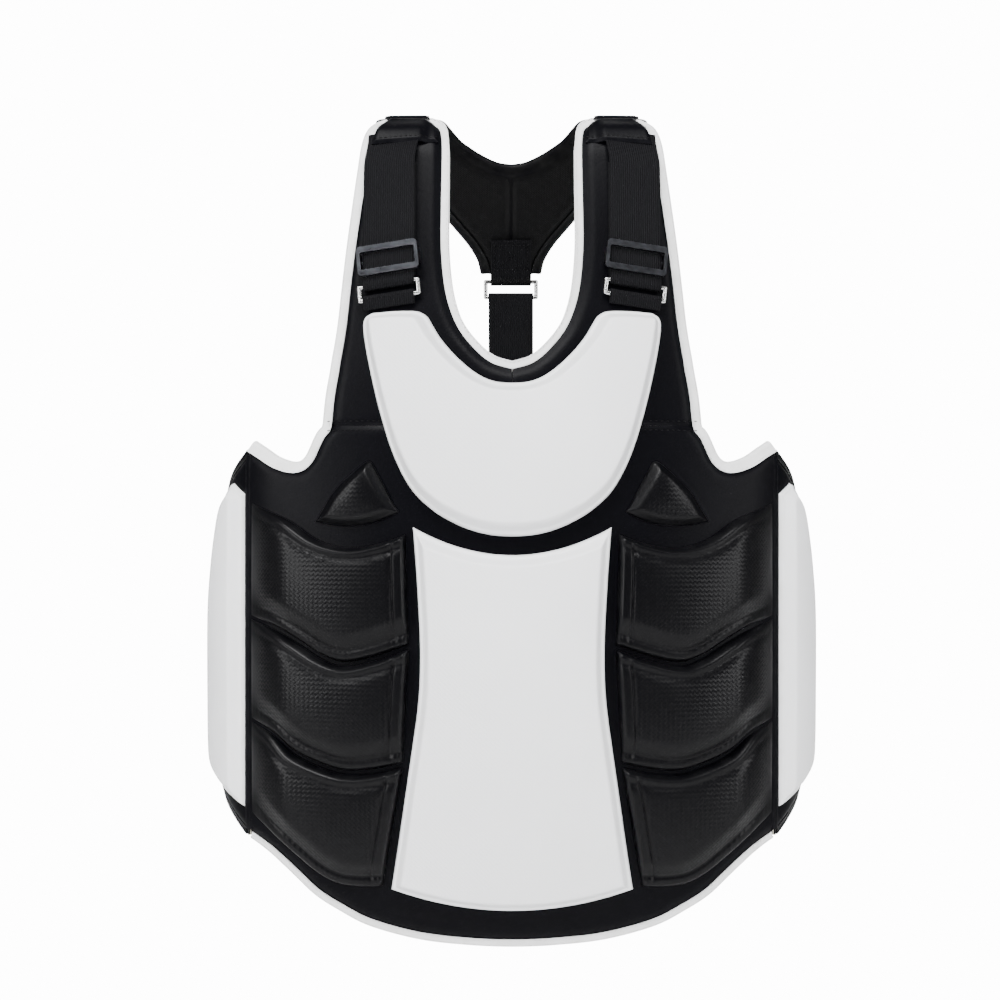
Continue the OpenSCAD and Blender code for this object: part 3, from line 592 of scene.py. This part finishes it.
def seam_rows(path, way, inset, height, side=1, pitch=3.6, length=0.0028, width=0.0008):
    path = evenly(path, pitch)
    path = path + inwards(path, way) * inset
    d = height(path) if callable(height) else np.full(len(path), float(height))
    places = at(side * path[:, 0], path[:, 1], d)
    out = outward(side * path[:, 0], path[:, 1])
    along = np.gradient(places, axis=0)
    return [(p, s, o, length, width) for p, s, o in zip(places, along, out)]


def thread(name, colour):
    m, tree, shader = blank_material(name)
    place = wire(tree, "ShaderNodeTexCoord").outputs["Object"]
    twist = wire(tree, "ShaderNodeTexWave", Vector=place, Scale=900.0, Distortion=2.0)
    # Painted shade: the colour darkens to 85 % in the low grooves of the twist, following its bump
    # height
    tint = two_tones(tree, twist.outputs["Fac"], [c * 0.85 for c in colour], colour)
    bump = wire(tree, "ShaderNodeBump", Height=twist.outputs["Fac"], Distance=0.0002)
    fill(tree, shader, Base_Color=tint, Roughness=0.55, Specular_IOR_Level=0.12,
         Normal=bump.outputs[0])
    return m


white_tape = leather("white_binding", (0.8, 0.8, 0.805), (0.7, 0.7, 0.69), 0.45, pitch=1100,
                     weave_depth=0.08, grain_depth=0.04)
white_thread = thread("white_thread", (0.78, 0.78, 0.77))
black_thread = thread("black_thread", (0.004, 0.004, 0.0045))


def lip_height(inset):
    return lambda p: np.full(len(p), cover_out - pinch(np.array(inset)) + 1.15)


neck_path = np.concatenate([neck_edge[::-1] * [-1, 1], neck_edge[1:]])
neck = folded_tape("neck_tape", neck_path, 1, white_tape, lip=3.2)
hem = folded_tape("hem_tape", hem_line, 1, white_tape, lip=3.0)
for obj, node in ((neck, "neck_binding"), (hem, "hem_binding")):
    fasten(obj, "shell", "white_binding", node)
# The rows of stitches stop short of the flex lines
stitch_end = 183
hem_stitched = hem_line[np.abs(hem_line[:, 0]) < stitch_end]
stitch_rows = (seam_rows(neck_path, 1, 2.2, lip_height(2.2))
               + seam_rows(hem_stitched, 1, 2.0, lip_height(2.0)))
arm_path = np.concatenate([flap_arm[::-1], arm_part])
for side, word in sides:
    obj = folded_tape(f"armhole_tape_{word}", arm_path, -1, white_tape, side=side, lip=4.8)
    fasten(obj, "shell", "white_binding", f"armhole_binding_{word}")
    stitch_rows += seam_rows(arm_path[arm_path[:, 0] < stitch_end], -1, 3.6, lip_height(3.6),
                             side=side)
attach(thread_bars("binding_stitches", stitch_rows, white_thread), "shell")

# The chest seam: two rows of black thread, one on each side of the join
chest_seam = np.array([(-128.0, seam), (128.0, seam)])
rows = []
for offset in (-3.2, 3.2):
    rows += seam_rows(chest_seam + [0, offset], 1, 0, cover_out - 0.35, pitch=4)
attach(thread_bars("chest_seam_stitches", rows, black_thread), "shell")

# ---------------- white chest and belly pads
# Thick foam under white leather with a fine weave, sewn to the front by a thin flange that
# runs round each pad. Inside the flange the skin slopes up to a crowned face.
white_leather = leather("white_leather", (0.78, 0.785, 0.8), (0.68, 0.68, 0.67), 0.42,
                        pitch=420, weave_depth=0.1, grain_depth=0.02, coat=0.1)


# Heights above the lining of a pad's underside and of the foot of its skin
pad_sole, pad_skin = 12.45, 12.6


def white_pad(height):
    def top(edge, points):
        flange = 2.6 * smooth(edge / 1.2)
        slope = (height - 2.6) * smooth((edge - 1.9) / 7)
        return pad_skin + flange + slope
    return top


def pad_foot(edge, points):
    return np.full(len(edge), pad_sole)


chest_half = [
    [(5, -199.5), (10, -307)], [(13, -198.3), (27, -303.5)], [(21.5, -194.8), (42, -297)],
    [(31, -188), (56, -288)], [(41, -178.3), (70, -273.5)], [(50, -167), (82, -250)],
    [(55.5, -157.5), (92, -219)], [(59, -151.8), (99.5, -187)], [(65, -148.4), (103.4, -162.5)],
    [(74, -147.7), (102.4, -152.8)], [(83, -147.7), (97, -148.6)]]
belly_ribs = [[[(-w, h), (0, h - dip), (w, h)] for w, h, dip in (
    (68, -301, 19.5), (65, -342, 14), (63, -385, 8), (64, -421, 6), (68.5, -456, 6),
    (73, -486, 8), (79, -526, 11), (84, -557.5, 14))]]
chest_pad = panel("chest_pad", [mirrored(chest_half) + chest_half], 84, 140, white_pad(12.5),
                  pad_foot, white_leather, rim=11, lines=14, crown=4.0)
belly_pad = panel("belly_pad", belly_ribs, 90, 130, white_pad(10.5), pad_foot, white_leather,
                  rim=11, lines=14, crown=3.5)
for obj, word in ((chest_pad, "chest"), (belly_pad, "belly")):
    fasten(obj, "shell", "white_leather", f"{word}_pad_cover", f"{word}_pad_foam")

# ---------------- black rib and corner pads
# Moulded foam pads under black leather with an embossed weave, glued to the front with curved
# grooves between them. Each has a full round upper edge and a low puckered lower edge.
embossed_leather = leather("embossed_leather", (0.0016, 0.0016, 0.0021), (0.006, 0.006, 0.0065),
                           0.32, pitch=440, weave_depth=0.09, grain_depth=0.03, shine=0.12)
groove_upper = [(73, -304.5), (90, -310.5), (108, -314), (123, -312.5), (138, -306.5),
                (157, -293.5), (185, -282)]
groove_middle = [(70.5, -385), (94, -393.5), (115, -398), (131, -393.5), (148, -383),
                 (165, -373.5), (185, -366.5)]
groove_lower = [(75, -468.5), (96, -473.5), (116, -475), (136, -469.5), (152, -462),
                (167, -449.5), (185, -441)]
rib_hem = [(90, -557), (105, -558), (121, -556.5), (135, -550), (150, -538.5), (167, -524.5),
           (185, -510)]


def between(upper, lower):
    return [[[(p[0], p[1] - 1.6), (q[0], q[1] + 1.6)] for p, q in zip(upper, lower)]]


def rolled(t, roll):
    return np.sqrt(1 - (1 - np.clip(t / roll, 0, 1)) ** 2)


def rib_pad(runs, height=8.2):
    """Full round along the upper groove and a crease inside the belly edge. Below, the pad
    slopes down to a narrow puckered lip beside the next groove, and it fades towards the
    flex line."""
    upper, lower = edge_line(runs, 0), edge_line(runs, 1)
    s = np.linspace(0, 1, 30)
    inner, outer = pattern(runs, s, s * 0), pattern(runs, s, s * 0 + 1)

    def top(edge, points):
        t = [distance(points, line) for line in (upper, lower, inner, outer)]
        fade = smooth((t[3] + 2) / 36) * rolled(t[3], 3)
        crease = 1.6 * np.exp(-((t[2] - 9) / 1.2) ** 2) * smooth(t[0] / 7) * smooth(t[1] / 16)
        behind_roll = 1.3 * np.exp(-((t[0] - 8) / 2.6) ** 2)
        lip = (0.5 + 0.5 * smooth((t[1] - 7.5) / 13)) * rolled(t[1], 3.2)
        pucker = 0.22 * np.sin(points[:, 0] * 1.7) * np.exp(-((t[1] - 6) / 2.6) ** 2)
        fold = 0.9 * np.exp(-((t[1] - 8) / 1.7) ** 2)
        return (pad_skin + height * rolled(t[0], 4.2) * lip * rolled(t[2], 3.2) * fade
                - crease * smooth(t[3] / 20) - (behind_roll + fold + pucker) * fade)
    return top


def corner_pad(edge, points):
    return 12.5 + 3.6 * smooth(edge / 7) + 1.2 * rolled(edge, 1.6)


corner_ribs = [[
    [(96.5, -255.5), (99.5, -254.5), (103, -256)], [(91, -266), (103.5, -265.5), (115.5, -267)],
    [(86, -275.5), (105, -277), (124.5, -277)], [(80.5, -286), (106, -289.5), (132, -289.5)],
    [(77.5, -290), (105, -300), (136.5, -297)]]]
for side, word in sides:
    ribs = (("upper", between(groove_upper, groove_middle)),
            ("middle", between(groove_middle, groove_lower)),
            ("lower", between(groove_lower, rib_hem)))
    for place, runs in ribs:
        obj = panel(f"{place}_rib_pad_{word}", runs, 64, 96, rib_pad(runs), pad_foot,
                    embossed_leather, rim=11, lines=17, side=side, crown=3.6)
        fasten(obj, "shell", "embossed_leather", f"{place}_rib_cover_{word}")
    obj = panel(f"corner_pad_{word}", corner_ribs, 44, 44, corner_pad, pad_foot,
                embossed_leather, rim=6, lines=9, side=side, crown=4.6)
    fasten(obj, "shell", "embossed_leather", f"corner_pad_cover_{word}", f"rib_foams_{word}")

# ---------------- wings
# A side wing hangs on each flex line: lining, board and black cover, with a white foam pad
# that reaches almost to its rear edge. Black tape closes the edge.
wing_ribs = [[
    [(189.2, -247.5), (192.5, -246.5)], [(189.2, -267), (213, -264)], [(189.2, -288), (224, -284)],
    [(189.2, -315), (231.5, -310)], [(189.2, -339), (239, -334)], [(189.2, -361), (244.5, -356)],
    [(189.2, -381), (246, -378)], [(189.2, -425), (246, -422)], [(189.2, -468), (246, -463)],
    [(189.2, -489), (242, -485)], [(189.2, -506), (228, -500)], [(189.2, -519), (209, -513)],
    [(189.2, -526), (194, -523.5)]]]
wing_pad_ribs = [[
    [(191.5, -276.5), (204, -268.5)], [(191.5, -291), (218, -283)], [(191.5, -313), (227, -307)],
    [(191.5, -337), (234, -331)], [(191.5, -360), (240, -354)], [(191.5, -381), (242.5, -378)],
    [(191.5, -425), (242.5, -422)], [(191.5, -466), (242, -460)], [(191.5, -487), (236, -480)],
    [(191.5, -505), (214, -495)]]]
wing_edge = edge_line(wing_ribs, 1, 200)
black_tape = leather("black_binding", (0.002, 0.002, 0.0025), (0.006, 0.006, 0.006), 0.45,
                     pitch=1100, weave_depth=0.12, grain_depth=0.05, shine=0.06)


def wing_pressed(points):
    return pinch(distance(points, wing_edge), 3.6, 9.0)


def wing_top(edge, points):
    return cover_out - wing_pressed(points)


for side, word in sides:
    body = f"{word}_wing"
    three_plies("wing_{}_{}_" + word, "wing_{}_" + word, wing_ribs, ((24, 90),) * 3, wing_top,
                wing_pressed, body, side)
    obj = panel(f"wing_pad_{word}", wing_pad_ribs, 44, 110, white_pad(8.0), pad_foot,
                white_leather, rim=9, lines=11, side=side, crown=1.8)
    fasten(obj, body, "white_leather", f"wing_pad_cover_{word}", f"wing_pad_foam_{word}")
    obj = folded_tape(f"wing_tape_{word}", wing_edge, -1, black_tape, side=side, lip=4.0)
    fasten(obj, body, "black_binding")
    # Two soft strips, one on each face, close the flex line
    for face, near_, far_, low_, high_, material, slot in (
            ("inner", 183.5, 194.5, -0.9, -0.1, lining_cloth, "lining_cloth"),
            ("outer", 186.4, 191.2, 11.3, 12.6, black_leather, "black_leather")):
        strip = [[[(near_, h), (far_, h + 1)] for h in (-249, -380, -522)]]
        obj = panel(f"flex_strip_{face}_{word}", strip, 12, 60,
                    lambda e, p: low_ + (high_ - low_) * smooth(0.4 + e / 1.6),
                    lambda e, p: np.full(len(e), low_), material, side=side)
        bend = [at(side * a, -380.0, low_) for a in (187.0, 191.0)]
        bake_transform(obj)

# ---------------- waist belt
# A padded elastic belt. The long end is sewn to the left wing and closes over the short tab of
# the right wing behind the back with hook and pile.
back_depth = 118.5 + top_y + 0.5
back_r = (back_depth ** 2 + side_x ** 2 - side_r ** 2) / (2 * (back_depth - side_r))
back_turn = math.asin(side_x / (back_r - side_r))
side_end = front_x + side_r * (math.pi - back_turn - front_turn)
back_mid = side_end + back_r * back_turn


def plan(a, d):
    """Ground plan of the body at distance a round it, d outside the lining's face."""
    angle = np.where(a <= side_end, front_turn + (a - front_x) / side_r,
                     math.pi - (back_mid - a) / back_r)
    x = np.where(a <= side_end, side_x + (side_r + d) * np.sin(angle),
                 (back_r + d) * np.sin(angle))
    y = np.where(a <= side_end, -(side_r + d) * np.cos(angle),
                 back_depth - back_r - (back_r + d) * np.cos(angle))
    return x, y - top_y


def band(name, start, stop, width, low, thick, material, side=1, middle=-415.0, puff=0.0):
    """A flat length of belt along the body, low above the lining's face and puffed outside."""
    a = np.linspace(start, stop, max(3, int((stop - start) / 5)))
    half, n = width / 2, 20
    rim = min(thick / 2, 1.5)
    across = np.linspace(-half + rim, half - rim, n)
    swell = puff * (1 - np.abs(across / half) ** 4)
    turn = np.linspace(0, math.pi, 5)[1:-1]
    section = ([(z, low + thick + s) for z, s in zip(across, swell)]
               + [(half - rim + rim * math.sin(t), low + thick / 2 + thick / 2 * math.cos(t))
                  for t in turn]
               + [(z, low) for z in across[::-1]]
               + [(-half + rim - rim * math.sin(t), low + thick / 2 - thick / 2 * math.cos(t))
                  for t in turn])
    section = np.array(section)
    x, y = plan(a[:, None] + 0 * section[:, 0], section[:, 1][None, :])
    z = np.broadcast_to(middle + section[:, 0], x.shape)
    return sweep(name, np.stack([side * x, y, z], -1) / 1000, material)


def ribbed(name, colour, pitch, depth_, rough=0.7, cross=0.35):
    """Woven tape: cords along its length, a weft dipping between them, painted shade in the dips.
    """
    m, tree, shader = blank_material(name)
    flat = wire(tree, "ShaderNodeUVMap", {"uv_map": "pattern"}).outputs[0]
    cords = wire(tree, "ShaderNodeGroup", {"node_tree": tape_weave}, Vector=flat, Pitch=pitch,
                 Cross=cross)
    fuzz = wire(tree, "ShaderNodeTexNoise", Vector=flat, Scale=1500.0, Detail=3.0)
    # Painted shade: the colour falls to 45 % in the low parts of the weave, following its bump
    # height
    tint = two_tones(tree, cords.outputs["Height"], [c * 0.45 for c in colour], colour)
    height = maths(tree, "MULTIPLY_ADD", fuzz.outputs["Fac"], 0.25, cords.outputs["Height"])
    bump = wire(tree, "ShaderNodeBump", Height=height, Distance=depth_)
    fill(tree, shader, Base_Color=tint, Roughness=rough, Specular_IOR_Level=0.06,
         Normal=bump.outputs[0])
    return m


tape_weave, t_in, t_out = node_group(
    "Tape weave", [("Vector", "NodeSocketVector", None), ("Pitch", "NodeSocketFloat", 600),
                   ("Cross", "NodeSocketFloat", 0.35)], [("Height", "NodeSocketFloat", None)])
split = wire(tape_weave, "ShaderNodeSeparateXYZ", n0=t_in.outputs["Vector"])
sines = []
for axis, factor in ((0, 2 * math.pi), (1, 2 * math.pi * 0.8)):
    run = maths(tape_weave, "MULTIPLY", split.outputs[axis], t_in.outputs["Pitch"])
    wave = maths(tape_weave, "SINE", maths(tape_weave, "MULTIPLY", run, factor))
    sines.append(maths(tape_weave, "MULTIPLY_ADD", wave, 0.5, 0.5))
mixed = wire(tape_weave, "ShaderNodeMix", {"data_type": "FLOAT"}, n0=t_in.outputs["Cross"],
             n2=sines[0], n3=sines[1])
fill(tape_weave, t_out, Height=mixed.outputs[0])

belt_fabric = ribbed("belt_fabric", (0.007, 0.007, 0.008), 420, 0.0004)
hook_pile = ribbed("hook_and_pile", (0.011, 0.011, 0.012), 900, 0.0008, rough=0.9, cross=0.5)
belt = band("waist_belt", 238, back_mid + 110, 98, 8.1, 3.0, belt_fabric, puff=0.6)
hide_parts("belt")
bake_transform(belt)
tab = band("belt_short_tab", 240, back_mid + 30, 98, 2.0, 3.0, belt_fabric, side=-1)
fasten(tab, "right_wing", "belt_fabric", "belt_tab")
hook = band("belt_hook", back_mid - 6, back_mid + 104, 86, 6.9, 1.2, hook_pile)
fasten(hook, "belt", "hook_and_pile", "belt_hook_patch")
pile = band("belt_pile", back_mid - 86, back_mid + 24, 86, 5.1, 1.2, hook_pile, side=-1)
fasten(pile, "right_wing", "hook_and_pile", "belt_pile_patch")

# ---------------- yoke
# The yoke joins the shoulder tops behind the neck. Two padded halves meet in a sewn crease
# down the middle; black tape closes both edges.
yoke_high = [
    [(61, 1.5), (93, 2)], [(59.5, 16), (95, 17)], [(54, 35), (99, 38)], [(49, 50), (94, 56)],
    [(42, 61.5), (84, 78)], [(34, 69.5), (73, 97)], [(24, 77.5), (62, 113)],
    [(12, 84.5), (51, 127)], [(0.3, 87), (42, 139)]]
yoke_low = [[(0.3, 87), (42, 139)], [(0.3, 118), (31, 154)], [(0.3, 149), (23.5, 168)],
            [(0.3, 180), (20.6, 180)]]
yoke_ribs = [yoke_high, yoke_low]
yoke_inner, yoke_outer = edge_line([yoke_high], 0), edge_line(yoke_ribs, 1)
yoke_middle = np.array([(0.3, 87.0), (0.3, 180.0)])
yoke_cloth = leather("yoke_lining_cloth", (0.0035, 0.0035, 0.0038), (0.008, 0.008, 0.008), 0.45,
                     pitch=700, weave_depth=0.16, grain_depth=0.05, shine=0.07)


def unfilled(h):
    """1 where the yoke folds on the shoulders and has no padding, 0 further back."""
    return 1 - smooth((h - 22) / 34)


def yoke_pressed(points):
    t = np.minimum(distance(points, yoke_inner), distance(points, yoke_outer))
    return (pinch(t, 3.6, 12.0) * (1 - 0.6 * unfilled(points[:, 1]))
            + 2.2 * (1 - smooth(distance(points, yoke_middle) / 5)))


def yoke_top(edge, points):
    return cover_out - yoke_pressed(points) - 6.2 * unfilled(points[:, 1])


def thinned(h):
    """The tape's height across the fold, where the unfilled yoke is half as thick."""
    return 1 - 0.5 * unfilled(h)


for side, word in sides:
    three_plies("yoke_{}_" + word + "_half", "yoke_{}" if side == 1 else "", yoke_ribs,
                ((36, 110),) * 3, yoke_top, yoke_pressed, "yoke", side, yoke_cloth)
inner_path = np.concatenate([yoke_inner, yoke_inner[::-1] * [-1, 1]])
obj = folded_tape("yoke_tape_inner", inner_path, -1, black_tape, lip=4.5, flat=thinned)
fasten(obj, "yoke", "black_binding", "yoke_binding")
for side, word in sides:
    obj = folded_tape(f"yoke_tape_{word}", yoke_outer, 1, black_tape, side=side, lip=4.5,
                      flat=thinned)
    fasten(obj, "yoke", "black_binding")
for word, low_, high_ in (("inner", 2.0, 3.2), ("outer", 9.2, 10.4)):
    crease = [[[(-3.2, h), (3.2, h)] for h in (88, 120, 150, 179)]]
    obj = panel(f"yoke_seam_{word}", crease, 8, 60, lambda e, p: high_ + 0 * e,
                lambda e, p: low_ + 0 * e, black_tape)
    fasten(obj, "yoke", "black_binding")


def join_top(edge, points):
    return 12.3 - 5.4 * smooth((points[:, 1] + 1) / 10) + 0.6 * smooth(edge / 3)


# The leather that covers each shoulder top, from the flap to the yoke
for side, word in sides:
    join = [[[(63, -5.5), (89, -5.5)], [(61.5, -1), (92, -1)], [(61, 5), (94, 5)],
             [(60.5, 10), (94.5, 10)]]]
    obj = panel(f"shoulder_join_{word}", join, 24, 18, join_top,
                lambda e, p: join_top(e, p) - 1.3, black_leather, rim=3, lines=3, side=side)
    tuple(at(side * 75.0, -2.5, 11.0))
    tuple(at(side * 75.0, 5.5, 11.0))
    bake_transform(obj)

# ---------------- shoulder straps
# Ribbed elastic webbing comes from under the shoulder cap, turns round the wire ring and
# returns under the slider. The ring hangs in a short tab sewn in above the chest pad.
strap_mid, strap_h, strap_lift, bar_tilt = 85.5 * flex_a / 189, -80.0, 16.9, math.radians(6)
strap_origin = at(strap_mid, strap_h, strap_lift) * 1000
strap_out = outward(strap_mid, strap_h)
strap_flat = np.cross(form(strap_mid, strap_h + 3) - form(strap_mid, strap_h - 3), strap_out)
strap_flat /= np.linalg.norm(strap_flat)
rise = np.cross(strap_out, strap_flat)
bar_axis = strap_flat * math.cos(bar_tilt) - rise * math.sin(bar_tilt)
loop_r = 2.8


def ribbon(name, path, width, thick, place, material, spacing=2.5):
    """Flat tape along a path of (run, lift); place sets a point (x, run, lift) in space."""
    path = evenly(path, spacing)
    step = np.gradient(path, axis=0)
    normal = np.stack([-step[:, 1], step[:, 0]], -1) / np.linalg.norm(step, axis=1)[:, None]
    rim = thick / 2
    x = np.linspace(-width / 2 + rim, width / 2 - rim, 12)
    turn = np.linspace(0, math.pi, 4)[1:-1]
    section = ([(v, rim) for v in x] + [(width / 2 - rim + rim * math.sin(t), rim * math.cos(t))
                                        for t in turn]
               + [(v, -rim) for v in x[::-1]]
               + [(-width / 2 + rim - rim * math.sin(t), -rim * math.cos(t)) for t in turn])
    section = np.array(section)
    run = path[:, 0, None] + normal[:, 0, None] * section[:, 1]
    lift = path[:, 1, None] + normal[:, 1, None] * section[:, 1]
    xs = np.broadcast_to(section[:, 0], run.shape)
    return sweep(name, place(xs, run, lift), material)


def arc(centre, radius, start, stop, n=14):
    t = np.radians(np.linspace(start, stop, n))
    return [(centre[0] + radius * math.cos(s), centre[1] + radius * math.sin(s)) for s in t]


def on_strap(side, blend_from=None):
    def place(x, run, lift):
        flat = (strap_origin + bar_axis * x[..., None] + rise * run[..., None]
                + strap_out * lift[..., None])
        if blend_from is not None:
            a, h = 85.4 + 0.976 * x, strap_h + run - 0.105 * x
            near = at(a, h, 14.4 + 2.6 * (1 - smooth((run - 44) / 14))) * 1000
            w = smooth((run - blend_from) / 22)[..., None] * (lift[..., None] > 0)
            flat = flat * (1 - w) + near * w
        return flat * [side, 1, 1] / 1000
    return place


webbing = ribbed("webbing", (0.0055, 0.0055, 0.0065), 620, 0.0004, cross=0.12)
bar_top, bar_low = (-49.5, 0.0), (-59.5, 0.0)
for side, word in sides:
    outer = [(63, 2.9), (40, 2.8), (0, 2.8), (-46, 2.8)]
    inner = [(-46, -2.8), (0, -2.8), (40, -2.8)]
    obj = ribbon(f"strap_webbing_{word}", outer + arc(bar_top, loop_r, 90, 270)[1:-1] + inner, 38,
                 1.4, on_strap(side, 38), webbing)
    fasten(obj, "shell", "webbing", f"shoulder_webbing_{word}")
    tab_path = [(-66.2, -2.4)] + arc(bar_low, loop_r, -90, 90) + [(-66.3, -0.6)]
    obj = ribbon(f"ring_tab_webbing_{word}", tab_path, 38, 1.4, on_strap(side), webbing)
    fasten(obj, "shell", "webbing", f"ring_tab_{word}")

# Shoulder caps: a quilted leather patch that hides the webbing's sewn end
cap_ribs = [[[(53.5, -24.5), (101, -26)], [(56, -12), (96.5, -12.5)], [(63, -4), (89, -2.5)]]]


def cap_top(edge, points):
    beside = np.abs(points[:, 0] - 85.4) - 17.5
    over_webbing = (1 - smooth(beside / 9)) * smooth((-points[:, 1] - 5) / 13)
    return 12.5 + 3.6 * over_webbing + 1.2 * smooth(edge / 2)


rows = []
for side, word in sides:
    obj = panel(f"shoulder_cap_leather_{word}", cap_ribs, 36, 26, cap_top,
                lambda e, p: cap_top(e, p) - 1.3, black_leather, rim=3, lines=4, side=side)
    fasten(obj, "shell", "black_leather", f"shoulder_cap_{word}")
    line = np.array([(55.0, -21.5), (98.0, -22.8)])
    rows += seam_rows(line, 1, 0, lambda p: cap_top(np.full(len(p), 9.0), p) + 0.1, side=side)
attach(thread_bars("cap_stitches", rows, black_thread), "shell")

# ---------------- sliders and rings
# Pressed steel sliders with a dark plating ride on the webbing. The nickel wire rings hang in
# the webbing tabs and show the wire's draw marks.
def metal(name, colour, rough, bright):
    m, tree, shader = blank_material(name)
    place = wire(tree, "ShaderNodeTexCoord").outputs["Object"]
    cloud = wire(tree, "ShaderNodeTexNoise", Vector=place, Scale=160.0, Detail=4.0)
    marks = wire(tree, "ShaderNodeTexNoise", Vector=place, Scale=1400.0, Detail=2.0)
    gloss = wire(tree, "ShaderNodeMapRange", Value=cloud.outputs["Fac"], To_Min=rough - 0.08,
                 To_Max=rough + 0.1)
    bump = wire(tree, "ShaderNodeBump", Height=marks.outputs["Fac"], Distance=0.0001)
    fill(tree, shader, Base_Color=two_tones(tree, cloud.outputs["Fac"], colour, bright),
         Roughness=gloss.outputs[0], Metallic=1.0, Normal=bump.outputs[0])
    return m


slider_metal = metal("slider_metal", (0.035, 0.036, 0.042), 0.3, (0.1, 0.104, 0.115))
ring_metal = metal("ring_metal", (0.6, 0.6, 0.6), 0.25, (0.75, 0.75, 0.74))
for material, nodes in ((slider_metal, ("slider_left", "slider_right")),
                        (ring_metal, ("ring_left", "ring_right", "back_ring"))):
    for node in nodes:
        for slot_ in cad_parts[node].material_slots:
            slot_.material = material

# ---------------- yoke tab and hanging strap
# A folded webbing tab is sewn through the yoke's foot with a boxed cross and holds the back
# ring. The hanging strap loops through the ring and ends in a hook patch inside the belt.
ring_high, ring_deep = -106.004, -118.404


def upright(x, run, lift):
    return np.stack([x, run, lift], -1) / 1000


def on_yoke(h, d):
    p = at(0.0, float(h), float(d)) * 1000
    return (p[1], p[2])


tab_path = ([on_yoke(h, 13.3) for h in (148, 156, 164, 172, 181)]
            + arc((118.5, ring_high), loop_r, 15, -170)
            + [on_yoke(h, -1.3) for h in (181, 172, 164, 156, 148)])
obj = ribbon("yoke_tab_webbing", tab_path, 32.5, 1.4, upright, webbing)
fasten(obj, "yoke", "webbing", "yoke_tab")
strap_path = ([(117.7, -452), (117.7, -300), (117.7, -144)] + [(115.7, -121.5)]
              + arc((118.5, ring_deep), loop_r, 180, 0) + [(121.3, -121.5)]
              + [(119.3, -144), (119.3, -166)])
obj = ribbon("hanging_strap", strap_path, 36, 1.4, upright, webbing)
fasten(obj, "back_strap", "webbing", "back_strap")
obj = ribbon("hanging_strap_hook", [(119.0, -448), (119.0, -373)], 32, 1.0, upright, hook_pile)
fasten(obj, "back_strap", "hook_and_pile", "back_strap_patch")
rows = []
# The boxed cross, on the inner and on the outer face of the tab
box = [(-13, 152), (13, 152), (13, 174), (-13, 174), (-13, 152), (13, 174), (13, 152),
       (-13, 174)]
for d in (-2.15, 14.15):
    for p, q in zip(box[:-1], box[1:]):
        line = evenly([p, q], 3.0)
        places = at(0 * line[:, 0], line[:, 1], d)
        places[:, 0] = line[:, 0] / 1000
        along = np.gradient(places, axis=0)
        out = outward(0 * line[:, 0], line[:, 1])
        rows += [(a_, b_, c_, 0.0024, 0.0007) for a_, b_, c_ in zip(places, along, out)]
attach(thread_bars("yoke_tab_stitches", rows, black_thread), "yoke")
